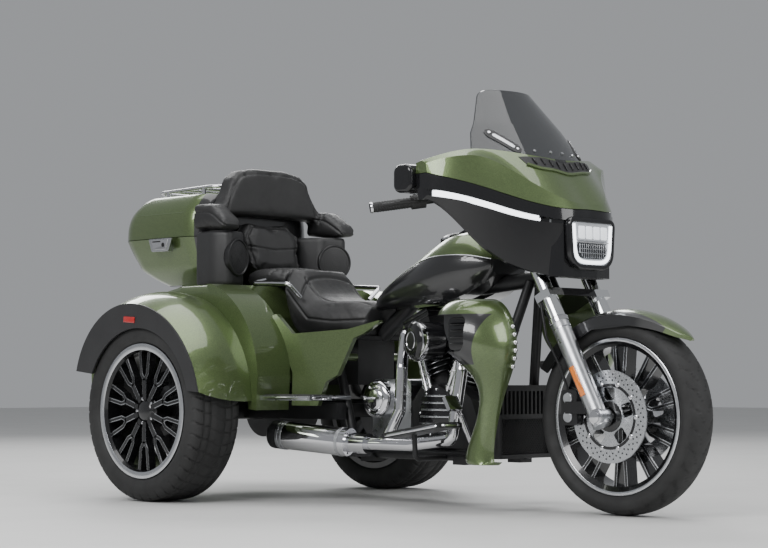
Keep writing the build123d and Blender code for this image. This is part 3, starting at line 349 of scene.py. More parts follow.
def block(size, place):
    sx, sy, sz = (v / 2 for v in size)
    corners = [(-sx, -sy, -sz), (sx, -sy, -sz), (sx, sy, -sz), (-sx, sy, -sz)]
    corners += [(-sx, -sy, sz), (sx, -sy, sz), (sx, sy, sz), (-sx, sy, sz)]
    faces = [(0, 3, 2, 1), (4, 5, 6, 7), (0, 1, 5, 4), (1, 2, 6, 5), (2, 3, 7, 6), (3, 0, 4, 7)]
    return [place @ Vector(c) for c in corners], faces


def curve_points(points):
    # points along a smooth curve through the control polygon
    cu = bpy.data.curves.new("line", "CURVE")
    cu.dimensions = "3D"
    s = cu.splines.new("NURBS")
    s.points.add(len(points) - 1)
    for p, q in zip(s.points, points):
        p.co = (*q, 1)
    s.order_u = 3
    s.use_endpoint_u = True
    s.resolution_u = 12
    o = add("line", cu)
    me = bpy.data.meshes.new_from_object(o.evaluated_get(bpy.context.evaluated_depsgraph_get()))
    out = [v.co.copy() for v in me.vertices]
    bpy.data.objects.remove(o)
    bpy.data.curves.remove(cu)
    return out


def tube(points, r, seg=10):
    pts = [Vector(p) for p in points]
    rings = []
    side = None
    for i, p in enumerate(pts):
        t = (pts[min(i + 1, len(pts) - 1)] - pts[max(i - 1, 0)]).normalized()
        side = t.orthogonal().normalized() if side is None else (side - t * side.dot(t)).normalized()
        up = t.cross(side)
        turns = [math.tau * k / seg for k in range(seg)]
        rings.append([p + (side * math.cos(a) + up * math.sin(a)) * r for a in turns])
    return loft(rings)


def mirrored(data):
    v, f = data
    return [Vector((q[0], -q[1], q[2])) for q in v], [tuple(reversed(q)) for q in f]


def pair(name, parts, mat, body="chassis", **more):
    # parts of the right side and their mirror images as one piece
    data = join(parts)
    return piece(name, join([data, mirrored(data)]), mat, body, **more)


def around(centre, radius, y, count, shift=0.0):
    # evenly spaced spots on a circle seen from the side
    turns = [math.tau * (k + shift) / count for k in range(count)]
    return [centre + Vector((radius * math.cos(a), y, radius * math.sin(a))) for a in turns]


def surface(name):
    o = NODES[name]
    verts = [o.matrix_world @ v.co for v in o.data.vertices]
    return BVHTree.FromPolygons(verts, [tuple(p.vertices) for p in o.data.polygons])


def drop_on(skin, start, way):
    # where a ray meets a surface, with the normal that looks back along the ray
    hit, normal = skin.ray_cast(Vector(start), Vector(way))[:2]
    if hit is not None and normal.dot(Vector(way)) > 0:
        normal = -normal
    return hit, normal


def patch(skin, outline, way, lift, cell, depth):
    # a thin panel of a flat outline, laid on a surface along one axis and raised off it
    axes = {"x": (1, 2), "y": (0, 2), "z": (0, 1)}[way[1]]
    drop = "xyz".index(way[1])
    sign = 1 if way[0] == "+" else -1
    aim = Vector((0, 0, 0))
    aim[drop] = -sign
    bm = bmesh.new()
    loop = []
    for u, w in outline:
        co = [0, 0, 0]
        co[axes[0]], co[axes[1]] = u, w
        loop.append(bm.verts.new(co))
    bm.faces.new(loop)
    for k in (0, 1):
        low, high = min(q[k] for q in outline), max(q[k] for q in outline)
        n = int((high - low) / cell)
        for i in range(1, n + 1):
            co = [0, 0, 0]
            no = [0, 0, 0]
            co[axes[k]] = low + (high - low) * i / (n + 1)
            no[axes[k]] = 1
            bmesh.ops.bisect_plane(bm, geom=bm.verts[:] + bm.edges[:] + bm.faces[:], plane_co=co, plane_no=no)
    bmesh.ops.triangulate(bm, faces=[f for f in bm.faces if len(f.verts) > 4])
    top, low = [], []
    for v in bm.verts:
        start = v.co.copy()
        start[drop] = sign * 5.0
        hit, normal = skin.ray_cast(start, aim)[:2]
        if hit is None:
            hit, normal = skin.find_nearest(v.co)[:2]
        if normal[drop] * sign < 0:
            normal = -normal
        top.append(hit + normal * lift)
        low.append(hit + normal * (lift - depth))
    bm.verts.index_update()
    n = len(top)
    faces = [tuple(v.index for v in f.verts) for f in bm.faces]
    edges = [tuple(v.index for v in e.verts) for e in bm.edges if len(e.link_faces) == 1]
    bm.free()
    rim = [(a, b, b + n, a + n) for a, b in edges]
    return top + low, faces + [tuple(i + n for i in reversed(f)) for f in faces] + rim


def rounded(points, radius, steps=5):
    # corners of a flat outline turned into short curves
    out = []
    n = len(points)
    for i, p in enumerate(points):
        a, b, c = Vector(points[i - 1]), Vector(p), Vector(points[(i + 1) % n])
        s = b + (a - b).normalized() * min(radius, (a - b).length * 0.45)
        e = b + (c - b).normalized() * min(radius, (c - b).length * 0.45)
        for k in range(steps + 1):
            t = k / steps
            out.append(tuple(s * (1 - t) ** 2 + b * 2 * t * (1 - t) + e * t * t))
    return out


def smoothed(points, steps=4):
    # more points on a smooth line through the given ones
    out = []
    n = len(points)
    for i in range(n - 1):
        p0, p1 = points[max(i - 1, 0)], points[i]
        p2, p3 = points[i + 1], points[min(i + 2, n - 1)]
        for k in range(steps):
            t = k / steps
            spot = []
            for a, b, c, d in zip(p0, p1, p2, p3):
                spot.append(0.5 * (2 * b + (c - a) * t + (2 * a - 5 * b + 4 * c - d) * t * t
                                   + (3 * b - a - 3 * c + d) * t ** 3))
            out.append(tuple(spot))
    return out + [points[-1]]


def plate_y(outline, y0, y1):
    return loft([[(x, y, z) for x, z in outline] for y in (y0, y1)])


# Wheels: rubber with cut tread, machined lips and spoke edges, caps and nuts
def tyre(centre, side, tread, seg):
    half = smoothed(side)
    rows = [(-y, r) for y, r in half] + [(y, r) for y, r in reversed(half[:-1])]
    verts, faces = [], []
    c = len(rows)
    for k in range(seg):
        a = math.tau * k / seg
        j = (k + 1) % seg
        for y, r in rows:
            q = r - tread(a, y, r)
            verts.append(centre + Vector((q * math.cos(a), y, q * math.sin(a))))
        faces += [(k * c + i, j * c + i, j * c + i + 1, k * c + i + 1) for i in range(c - 1)]
        faces.append((k * c + c - 1, j * c + c - 1, j * c, k * c))
    return verts, faces


FRONT_GROOVES, FRONT_TREAD_R = 30, 0.315
REAR_GROOVES, REAR_TREAD_R = 44, 0.326


def lane_gap(lane, count, radius):
    # distance along the tread to the middle of a lane, one of a number round the tyre
    return abs(lane % 1.0 - 0.5) * math.tau * radius / count


def slant_lane(a, y, count, slant):
    # lanes that slant outward, staggered left to right
    return a * count / math.tau + (0.0 if y < 0 else 0.5) - abs(y) * slant


def front_tread(a, y, r):
    w = abs(y)
    if r < 0.299:
        return 0.0
    lane = slant_lane(a, y, FRONT_GROOVES, 22.0)
    if lane_gap(lane, FRONT_GROOVES, FRONT_TREAD_R) < 0.0032 and 0.008 < w < 0.054:
        return 0.0035
    lane = slant_lane(a, y, FRONT_GROOVES, 9.0) + 0.5
    return 0.003 if lane_gap(lane, FRONT_GROOVES, FRONT_TREAD_R) < 0.0022 and 0.026 < w < 0.058 else 0.0


def rear_tread(a, y, r):
    w = abs(y)
    if r < 0.3:
        return 0.0
    cut = 0.0055 if abs(w - 0.03) < 0.0042 or abs(w - 0.066) < 0.0036 else 0.0
    lane = slant_lane(a, y, REAR_GROOVES, 7.0)
    if lane_gap(lane, REAR_GROOVES, REAR_TREAD_R) < 0.003 and w > 0.03:
        cut = max(cut, 0.005)
    lane = a * REAR_GROOVES / math.tau + y * 9.0
    if lane_gap(lane, REAR_GROOVES, REAR_TREAD_R) < 0.0016 and w < 0.03:
        cut = max(cut, 0.0035)
    return cut


front_side = [(0.0442, 0.2555), (0.053, 0.2605), (0.0645, 0.279), (0.0615, 0.298), (0.05, 0.3098),
              (0.028, 0.3178), (0, 0.32)]
rear_side = [(0.0902, 0.244), (0.1, 0.253), (0.1068, 0.276), (0.1045, 0.299), (0.096, 0.3145),
             (0.08, 0.3232), (0.045, 0.3255), (0, 0.326)]
o = piece("front_tyre_tread", tyre(FRONT_C, front_side, front_tread, 540), TYRE, "front_wheel", sharp=40)
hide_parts("front_tyre")
rear_data = tyre(REAR_C, rear_side, rear_tread, 528)
o = piece("rear_tyre_tread_right", rear_data, TYRE, "rear_wheel_right", sharp=40)
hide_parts("rear_tyre_right")
o = piece("rear_tyre_tread_left", mirrored(rear_data), TYRE, "rear_wheel_left", sharp=40)
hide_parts("rear_tyre_left")


def ribbon(points, half, y0, y1, centre, turn):
    # a flat strip of even width along a line in the wheel's plane: (across, out) points
    pts = [Vector(p) for p in points]
    left, right = [], []
    for i, p in enumerate(pts):
        d = (pts[min(i + 1, len(pts) - 1)] - pts[max(i - 1, 0)]).normalized()
        n = Vector((-d.y, d.x))
        left.append(p + n * half)
        right.append(p - n * half)
    loop = left + right[::-1]
    ca, sa = math.cos(turn), math.sin(turn)
    verts = []
    for y in (y0, y1):
        verts += [centre + Vector((q.x * ca + q.y * sa, y, -q.x * sa + q.y * ca)) for q in loop]
    n = len(loop)
    faces = [(n + i, n + i + 1, n + n - 2 - i, n + n - 1 - i) for i in range(len(pts) - 1)]
    faces += [(i, (i + 1) % n, n + (i + 1) % n, n + i) for i in range(n)]
    return verts, faces


SPOKES = 10


def spoke_set(centre, y, stem_w, r0, split, tine_w, tine_half, tip_half, tip, inset, rise):
    parts = []
    for k in range(SPOKES):
        turn = math.tau * k / SPOKES
        parts.append(ribbon([(0, r0), (0, split + 0.004)], stem_w / 2 - inset, y, y - rise, centre, turn))
        for s in (-1, 1):
            line = [(0, split), (s * tine_half * 0.55, split + 0.62 * tine_half),
                    (s * tine_half, split + 1.35 * tine_half), (s * tip_half, tip)]
            parts.append(ribbon(line, tine_w / 2 - inset, y, y - rise, centre, turn))
    return join(parts)


# a spoke's sizes: stem width, foot, where it forks, tine width, half gap at the fork and tip, tip radius
front_spoke = (0.017, 0.044, 0.108, 0.011, 0.016, 0.024, 0.236)
rear_spoke = (0.02, 0.06, 0.112, 0.013, 0.017, 0.027, 0.22)
front_lip = [(0.0502, 0.243), (0.0512, 0.245), (0.0512, 0.2535), (0.0502, 0.255)]
rear_lip = [(0.0975, 0.22), (0.0985, 0.2215), (0.0985, 0.24), (0.0978, 0.243), (0.0945, 0.2436)]
WHEELS = (
    ("front", FRONT_C, -0.026, front_spoke, front_lip, ("front_wheel", "front_wheel")),
    ("rear", REAR_C, -0.082, rear_spoke, rear_lip, ("rear_wheel_right", "rear_wheel_left")),
)
for end, centre, y_face, spoke, lip_rows, bodies in WHEELS:
    trims = (
        ("spoke_edges", spoke_set(centre, y_face, *spoke, -0.0004, 0.0008), MACHINED),
        ("spoke_faces", spoke_set(centre, y_face - 0.0008, *spoke, 0.0022, 0.0016), RIM),
        ("rim_lip", lathe(lip_rows, centre, RIGHT, 96), MACHINED),
    )
    for name, data, mat in trims:
        piece(f"{name}_{end}_right", data, mat, bodies[0])
    for name, data, mat in trims:
        piece(f"{name}_{end}_left", mirrored(data), mat, bodies[1])

cap_rows = [(0.066, 0.0575), (0.0695, 0.0572), (0.072, 0.054), (0.0728, 0.044), (0.0805, 0.0345),
            (0.083, 0.0325), (0.0842, 0.028), (0.085, 0)]
nut_rows = [(0, 0.0075), (0.007, 0.0075), (0.009, 0.0055), (0.0095, 0)]
nuts = [lathe(nut_rows, spot, RIGHT, 6) for spot in around(REAR_C, 0.0455, -0.0725, 5, 0.5)]
for name, data, mat in (("hub_cap", lathe(cap_rows, REAR_C), RIM), ("wheel_nuts", join(nuts), CHROME)):
    piece(f"{name}_right", data, mat, "rear_wheel_right")
    piece(f"{name}_left", mirrored(data), mat, "rear_wheel_left")

# Front discs: drilled band shown as dark dots of painted shade, rivets and a dark carrier
DISC_Y = round(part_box("front_discs")[0].y, 4) - 0.0001
hole_shade_rows = [(0, 0.0031), (0.0003, 0.0029), (0.0003, 0)]
rivet_rows = [(0, 0.0075), (0.002, 0.0075), (0.003, 0.006), (0.003, 0)]
# the holes are not cut: thin dark dots on the disc face are painted shade for them
hole_shades = []
for k in range(30):
    for r, shift in ((0.118, 0), (0.127, 0.5), (0.137, 0)):
        hole_shades.append(lathe(hole_shade_rows, around(FRONT_C, r, DISC_Y, 30, shift)[k], RIGHT, 10))
rivets = [lathe(rivet_rows, spot, RIGHT, 14) for spot in around(FRONT_C, 0.106, DISC_Y, 10)]
ring = lathe([(0.0826, 0.0965), (0.0838, 0.0972), (0.0838, 0.1058), (0.0826, 0.1065)], FRONT_C, RIGHT, 72)
hub = lathe([(0.0826, 0.05), (0.085, 0.049), (0.0862, 0.043), (0.088, 0.03)], FRONT_C, RIGHT, 40)
for name, parts, mat in (("hole_shades", hole_shades, IRON), ("rivets", rivets, CHROME), ("carrier", [ring, hub], RIM)):
    pair(f"disc_{name}", parts, mat, "front_wheel")


# Seats and pads: blown up a little as cloth, then pressed in along their seams
def pad(node, name, shrink, cap, seams, voxel=0.01, press=4.0):
    src = NODES[node]
    me = src.data.copy()
    me.name = name
    me.transform(src.matrix_world)
    o = add(name, me)
    scene = bpy.context.scene
    r = o.modifiers.new("even", "REMESH")
    r.mode = "VOXEL"
    r.voxel_size = voxel
    bake(o)
    for _ in range(2):
        bm = bmesh.new()
        bm.from_mesh(o.data)
        bmesh.ops.smooth_vert(bm, verts=bm.verts, factor=0.5,
                              use_axis_x=True, use_axis_y=True, use_axis_z=True)
        bm.to_mesh(o.data)
        bm.free()
    for v in o.data.vertices:
        v.co -= v.normal * shrink
    start = [v.co.copy() for v in o.data.vertices]
    c = o.modifiers.new("cloth", "CLOTH")
    c.settings.use_pressure = True
    c.settings.uniform_pressure_force = press
    c.settings.quality = 5
    c.settings.effector_weights.gravity = 0
    for f in range(1, 21):
        scene.frame_set(f)
    bake(o)
    scene.frame_set(1)
    for v, s in zip(o.data.vertices, start):
        d = v.co - s
        if d.length > cap:
            v.co = s + d.normalized() * cap
    d = o.modifiers.new("fine", "SUBSURF")
    d.levels = d.render_levels = 2
    bake(o)
    for line, way, depth, width in seams:
        press_seam(o, line, way, depth, width)
    o.data.materials.clear()
    o.data.materials.append(LEATHER)
    for p in o.data.polygons:
        p.use_smooth = True
        p.material_index = 0
    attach(o, "chassis")
    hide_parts(node)


def press_seam(o, line, way, depth, width):
    # push a narrow groove along a line drawn in one view, on the faces that look that way
    drop = "xyz".index(way[1])
    axes = [k for k in range(3) if k != drop]
    sign = 1 if way[0] == "+" else -1
    count = len(o.data.vertices)
    spots, normals = np.empty(count * 3), np.empty(count * 3)
    o.data.vertices.foreach_get("co", spots)
    o.data.vertices.foreach_get("normal", normals)
    spots, normals = spots.reshape(-1, 3), normals.reshape(-1, 3)
    flat = spots[:, axes]
    near = np.ones(count)
    for a, b in zip(np.array(line)[:-1], np.array(line)[1:]):
        t = np.clip((flat - a) @ (b - a) / max((b - a) @ (b - a), 1e-9), 0, 1)
        near = np.minimum(near, np.linalg.norm(flat - a - t[:, None] * (b - a), axis=1))
    push = depth * np.exp(-(near / width) ** 2) * (normals[:, drop] * sign > 0.25)
    spots -= normals * push[:, None]
    o.data.vertices.foreach_set("co", spots.ravel())
    o.data.update()


def other_side(line):
    return [(x, -y) for x, y in line]


rider_long = [(560, -0.062), (470, -0.086), (380, -0.104), (300, -0.108), (255, -0.112)]
rider_long = smoothed([(X(x), y) for x, y in rider_long])
rider_cross = smoothed([(X(272), -0.15), (X(262), -0.08), (X(258), 0), (X(262), 0.08), (X(272), 0.15)])
rider_edge = [(X(560), 0.655), (X(430), 0.652), (X(320), 0.664), (X(210), 0.77)]
pillion_long = [(X(180), -0.1), (X(80), -0.112), (X(-20), -0.114)]
pillion_cross = [(X(110), -0.18), (X(104), 0), (X(110), 0.18)]
back_half = [(-0.226, 1.085), (-0.214, 1.125), (-0.178, 1.196), (-0.13, 1.226)]
back_line = smoothed(back_half + [(0, 1.236)] + [(-y, z) for y, z in reversed(back_half)])
arm_line = smoothed([(X(-140), 1.072), (X(-40), 1.068), (X(30), 1.03), (X(52), 1.012)])
lumbar_half = [(-0.074, 0.846), (-0.108, 0.876), (-0.126, 0.99), (-0.09, 1.03)]
lumbar_line = lumbar_half + [(-y, z) for y, z in reversed(lumbar_half)] + lumbar_half[:1]
# seams: line, side it shows on, depth, width
rider_seams = [
    (rider_long, "+z", 0.0045, 0.0042),
    (other_side(rider_long), "+z", 0.0045, 0.0042),
    (rider_cross, "+z", 0.0055, 0.0048),
    (rider_edge, "-y", 0.004, 0.004),
    (rider_edge, "+y", 0.004, 0.004),
]
pillion_lines = (pillion_long, other_side(pillion_long), pillion_cross)
pillion_seams = [(line, "+z", 0.0045, 0.0042) for line in pillion_lines]
back_seams = [(back_line, "+x", 0.0055, 0.005)] + [(arm_line, way, 0.0045, 0.0042) for way in ("-y", "+y")]
lumbar_seams = [
    (lumbar_line, "+x", 0.005, 0.0045),
    ([(-0.124, 0.95), (0, 0.94), (0.124, 0.95)], "+x", 0.004, 0.004),
]
pad("rider_seat", "rider_cushion", 0.006, 0.012, rider_seams)
pad("passenger_seat", "passenger_cushion", 0.005, 0.01, pillion_seams)
pad("backrest", "backrest_cushion", 0.006, 0.011, back_seams)
pad("lumbar_pad", "lumbar_cushion", 0.005, 0.011, lumbar_seams)


# Fairing: vent under the screen, ducts and screws on the screen
def oblong(a, b, half, steps=8):
    a, b = Vector(a), Vector(b)
    d = (b - a).normalized()
    n = Vector((-d.y, d.x))
    out = []
    for end, s in ((b, 1), (a, -1)):
        for k in range(steps + 1):
            t = math.pi * k / steps - math.pi / 2
            out.append(tuple(end + (d * math.cos(t) + n * math.sin(t)) * half * s))
    return out


DOWN = (0, 0, -1)
cap_skin = surface("fairing_cap")
screen_skin = surface("windscreen")
vent_front = [(0, 1436), (60, 1432), (120, 1420), (165, 1394)]
vent_back = [(178, 1368), (120, 1389), (60, 1402), (0, 1405)]
half_vent = vent_front + vent_back
vent = [(X(x), y / 1000) for y, x in half_vent + [(-y, x) for y, x in reversed(half_vent[1:-1])]]
steered("screen_vent", patch(cap_skin, vent, "+z", 0.0012, 0.01, 0.003), DARK)
rows, ribs = [], []
for y, x in smoothed([(-y, x) for y, x in reversed(vent_front[1:])] + vent_front, 6):
    hit, normal = drop_on(cap_skin, (X(x), y / 1000, 2), DOWN)
    rows.append(hit + normal * 0.003)
steered("vent_lip", tube(rows, 0.0052), OLIVE)
for k in range(9):
    y = -0.132 + 0.033 * k
    hit, normal = drop_on(cap_skin, (X(1418 - 1.3 * (y * 30) ** 2), y, 2), DOWN)
    lean = Vector((0, 0, 1)).rotation_difference(normal).to_matrix().to_4x4()
    ribs.append(block((0.03, 0.003, 0.006), Matrix.Translation(hit + normal * 0.004) @ lean))
steered("vent_ribs", join(ribs), BLACK, bevel=0.0008)
screw_rows = [(0.003, 0.0055), (0.006, 0.005), (0.0066, 0)]
for side, tag in SIDES:
    line = ((side * 0.205, 1.257), (side * 0.16, 1.208))
    slot = patch(screen_skin, oblong(*line, 0.0175), "+x", 0.003, 0.006, 0.003)
    steered(f"screen_duct_{tag}", slot, DARK)
    line = ((side * 0.199, 1.2505), (side * 0.166, 1.2145))
    slot = patch(screen_skin, oblong(*line, 0.0065), "+x", 0.0044, 0.005, 0.002)
    steered(f"screen_duct_bar_{tag}", slot, SILVER)
    screws = []
    for y, z in ((0.209, 1.2615), (0.156, 1.2035), (0.098, 1.2), (0.03, 1.2)):
        hit, normal = drop_on(screen_skin, (3, side * y, z), (-1, 0, 0))
        screws.append(lathe(screw_rows, hit, normal, 12))
    steered(f"screen_screws_{tag}", join(screws), CHROME)

# Headlamp: bezel, light bow, bright upper cells over a dark ribbed reflector
LAMP_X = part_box("headlamp")[1].x


def moulding(outline, rows):
    # a closed moulding along a flat outline on the lamp's face: rows are (outward, ahead) of its section
    pts = [Vector(p) for p in outline]
    n = len(pts)
    mid = sum(pts, Vector((0, 0))) / n
    rings = []
    for i, p in enumerate(pts):
        t = (pts[(i + 1) % n] - pts[i - 1]).normalized()
        out = Vector((t.y, -t.x))
        if out.dot(p - mid) < 0:
            out = -out
        rings.append([Vector((LAMP_X + x, *(p + out * d))) for d, x in rows])
    return loft(rings + rings[:1], caps=False)


def lamp_plate(outline, back, front, inset):
    # a plate of a flat outline ahead of the lamp's face, drawn in a little at its front
    pts = [Vector(p) for p in outline]
    mid = sum(pts, Vector((0, 0))) / len(pts)
    rings = []
    for x, k in ((back, 0), (front - 0.4 * (front - back), 0), (front, inset)):
        rings.append([(LAMP_X + x, *(p + (mid - p).normalized() * k)) for p in pts])
    return loft(rings)


lamp_shape = [(-0.11, 0.962), (0.11, 0.962), (0.1, 0.838), (0.07, 0.812), (-0.07, 0.812), (-0.1, 0.838)]
bezel_rows = [(0.01, -0.016), (0.012, -0.004), (0.009, 0.003), (0.002, 0.005), (-0.005, 0.003),
              (-0.007, -0.003), (-0.005, -0.01)]
steered("lamp_bezel", moulding(rounded(lamp_shape, 0.02, 6), bezel_rows), BLACK)
half_bow = [(-0.0955, 0.95), (-0.0925, 0.905), (-0.087, 0.848), (-0.064, 0.8265)]
bow = half_bow + [(0, 0.8245)] + [(-y, z) for y, z in reversed(half_bow)]
bow = curve_points([(LAMP_X + 0.001, y, z) for y, z in bow])
steered("lamp_bow", tube(bow, 0.0062, 12), HALO)
upper = rounded([(-0.084, 0.95), (0.084, 0.95), (0.08, 0.8955), (-0.08, 0.8955)], 0.012)
steered("lamp_upper", lamp_plate(upper, -0.002, 0.0035, 0.003), LENS)
cells, ribs = [], []
for k in range(4):
    a, b = -0.0735 + 0.038 * k, -0.0405 + 0.038 * k
    cell = rounded([(a, 0.944), (b, 0.944), (b, 0.902), (a, 0.902)], 0.006, 4)
    cells.append(lamp_plate(cell, 0.002, 0.0065, 0.0055))
steered("lamp_cells", join(cells), CLEAR)
lower = [(-0.0795, 0.8895), (0.0795, 0.8895), (0.076, 0.853), (0.056, 0.836), (-0.056, 0.836),
         (-0.076, 0.853)]
steered("lamp_lower", lamp_plate(rounded(lower, 0.01), -0.002, 0.0015, 0.002), SCREEN)
RIB_TOP = 0.886
for k in range(13):
    y = -0.066 + 0.011 * k
    low = 0.84 + 0.9 * max(0, abs(y) - 0.05)
    ribs.append(block((0.005, 0.002, RIB_TOP - low), put(LAMP_X + 0.0025, y, 0.5 * (RIB_TOP + low))))
for z in (0.87, 0.856):
    ribs.append(block((0.004, 0.136, 0.0016), put(LAMP_X + 0.0025, 0, z)))
steered("lamp_ribs", join(ribs), SILVER, bevel=0.0006)
bar = block((0.008, 0.166, 0.0044), put(LAMP_X + 0.0015, 0, 0.8925))
steered("lamp_bar", bar, CHROME, bevel=0.0012)

# Panel behind the fairing: display and dials
DASH_X = X(1191)
panel = block((0.01, 0.17, 0.092), put(DASH_X - 0.0045, 0, 1.062, 15))
steered("dash_display", panel, SCREEN, bevel=0.004)
dial_rows = [(0, 0.036), (0.01, 0.036), (0.011, 0.03), (0.0085, 0.0295), (0.0085, 0)]
band_rows = [(0.006, 0.0385), (0.013, 0.038), (0.0135, 0.0355), (0.0108, 0.034)]
dials, bands = [], []
for y in (-0.128, 0.128):
    for parts, rows in ((dials, dial_rows), (bands, band_rows)):
        parts.append(lathe(rows, (DASH_X + 0.006, y, 1.056), (-0.965, 0, -0.26), 36))
steered("dash_dials", join(dials), SCREEN)
steered("dial_rings", join(bands), CHROME)

# Tank: bright line between the two colours, filler cap
tank_skin = surface("fuel_tank")
for side, tag in SIDES:
    hits = [drop_on(tank_skin, (x, 2 * side, z), (0, -side, 0)) for x, z in smoothed(TANK_LINE, 6)]
    rows = [hit + normal * 0.0006 for hit, normal in hits if hit is not None]
    piece(f"tank_line_{tag}", tube(rows, 0.0014, 6), SILVER)
FILLER, FILLER_UP = (X(907), 0, 0.935), (-0.25, 0, 1)
filler_rows = [(0, 0.046), (0.006, 0.0455), (0.01, 0.041), (0.013, 0.03), (0.0138, 0)]
piece("filler_cap", lathe(filler_rows, FILLER, FILLER_UP, 40), BLACK)
ring_rows = [(-0.002, 0.0475), (0.004, 0.0478), (0.0055, 0.0455)]
piece("filler_ring", lathe(ring_rows, FILLER, FILLER_UP, 40), CHROME)

# Air cleaner: dark domed cover, bright ring, plain centre
AIR = Vector((X(942), -0.2299, 0.571))
AIR_WAY = Vector((-math.sin(math.radians(18)), -math.cos(math.radians(18)), 0))
cover_rows = [(-0.001, 0.0655), (0.006, 0.0645), (0.013, 0.058), (0.017, 0.047), (0.0185, 0.036),
              (0.016, 0.034), (0.016, 0)]
band_rows = [(-0.016, 0.0663), (-0.016, 0.069), (0, 0.0698), (0.005, 0.0685), (0.0062, 0.064)]
ring_rows = [(0.016, 0.0335), (0.02, 0.033), (0.0212, 0.03), (0.0196, 0.0285)]
centre_rows = [(0.016, 0.029), (0.0195, 0.0285), (0.0206, 0.022), (0.021, 0)]
piece("air_cover", lathe(cover_rows, AIR, AIR_WAY, 64), BLACK)
piece("air_rings", join([lathe(band_rows, AIR, AIR_WAY, 64), lathe(ring_rows, AIR, AIR_WAY, 48)]), CHROME)
piece("air_centre", lathe(centre_rows, AIR, AIR_WAY, 40), IRON)

# Engine: bright fin edges, rocker caps, cam cover, push rod tubes, bolts
CRANK = Vector((X(930), 0, 0.31))
CAM_Z = 0.326
BANK = 22.5
rings, tops = [], []
for sign in (-1, 1):
    a = math.radians(sign * BANK)
    axis = Vector((math.sin(a), 0, math.cos(a)))
    for k in range(8):
        h = 0.1523 + 0.018 * k
        fin = [(h + 0.0004, 0.0838), (h + 0.001, 0.085), (h + 0.004, 0.085), (h + 0.0046, 0.0838)]
        v, f = lathe(fin, CRANK, axis, 60)
        rings.append((v, [q for q in f if all(sign * (v[i].x - CRANK.x) > 0.002 for i in q)]))
    up = put(*CRANK, sign * BANK)
    plates = ((0.132, 0.146, 0.012, 0.381), (0.118, 0.128, 0.008, 0.39), (0.154, 0.181, 0.007, 0.3535))
    for *size, h in plates:
        tops.append(block(size, up @ put(0, 0, h)))
piece("fin_edges", join(rings), MACHINED)
piece("rocker_caps", join(tops), BLACK, bevel=0.004)
cam_mm = [(-92, 300), (-64, 392), (0, 424), (64, 392), (104, 300), (56, 236), (-50, 236)]
cam = rounded([(CRANK.x + x * 0.00096, CAM_Z + (z - 326) * 0.00096) for x, z in cam_mm], 0.022, 6)
piece("cam_plate", plate_y(cam, -0.1155, -0.1182), BLACK, bevel=0.001)
ribs = []
for k in range(6):
    z = 0.262 + 0.024 * k
    wide = 0.148 - 0.05 * abs(z - 0.315) / 0.07
    ribs.append(block((wide, 0.012, 0.0066), put(CRANK.x + 0.003, -0.1195, z)))
piece("cam_ribs", join(ribs), MACHINED, bevel=0.0016)
low_collar = [(0, 0.0095), (0.001, 0.0125), (0.012, 0.0125), (0.013, 0.0095)]
high_collar = [(0, 0.0095), (0.001, 0.0118), (0.01, 0.0118), (0.011, 0.0095)]
rods = []
for foot, top, high in ((-30, -88, 0.56), (-52, -112, 0.56), (62, 114, 0.56), (40, 92, 0.528)):
    a = Vector((CRANK.x + foot / 1000, -0.104, 0.388))
    b = Vector((CRANK.x + top / 1000, -0.099, high))
    d = (b - a).normalized()
    rods += [tube([a, b], 0.0092, 16), lathe(low_collar, a + d * 0.02, d, 20)]
    rods.append(lathe(high_collar, a + d * 0.075, d, 20))
piece("push_rod_tubes", join(rods), CHROME)
GEAR = Vector((X(660), -0.15, 0.37))
dome = [(-0.052, 0.0668), (-0.014, 0.0668), (-0.006, 0.065), (0, 0.059), (0.003, 0.05), (0.0035, 0.042),
        (0.0075, 0.0375), (0.0095, 0.03), (0.01, 0)]
piece("gear_cover", lathe(dome, GEAR, RIGHT, 64), CHROME)
gear_bolt = [(0, 0.0048), (0.004, 0.0046), (0.005, 0.003), (0.0052, 0)]
cam_bolt = [(0, 0.0044), (0.004, 0.0042), (0.005, 0.003), (0.0052, 0)]
bolts = [lathe(gear_bolt, spot, RIGHT, 10) for spot in around(GEAR, 0.0475, -0.0015, 6)]
for x, z in cam[::6]:
    spot = (CRANK.x + (x - CRANK.x) * 0.9, -0.118, CAM_Z + (z - CAM_Z) * 0.9)
    bolts.append(lathe(cam_bolt, spot, RIGHT, 10))
piece("case_bolts", join(bolts), CHROME)
clutch_rows = [(0.2105, 0), (0.21, 0.06), (0.2085, 0.068)]
piece("clutch_cap", lathe(clutch_rows, (X(935), 0, 0.318), (0, 1, 0)), MACHINED)

# Exhaust: end cap, bands, clamps at the ports
tail = Vector((X(300), -0.292, 0.24))
flow = (tail - Vector((X(615), -0.226, 0.216))).normalized()
cap_rows = [(-0.022, 0.0508), (0, 0.0512), (0.01, 0.05), (0.016, 0.045), (0.014, 0.0385), (0, 0.036),
            (-0.04, 0.0355), (-0.04, 0)]
band_rows = [(-0.006, 0.0505), (-0.005, 0.052), (0.005, 0.052), (0.006, 0.0505)]
clamp_rows = [(0, 0.0215), (0.001, 0.029), (0.012, 0.029), (0.013, 0.0215)]
piece("muffler_cap", lathe(cap_rows, tail, flow), IRON)
bands = [lathe(band_rows, tail - flow * d, flow) for d in (0.03, 0.045, 0.29)]
bands += [lathe(clamp_rows, (X(x), -0.0886, 0.6), RIGHT, 32) for x in (1068, 800)]
piece("exhaust_bands", join(bands), SILVER)

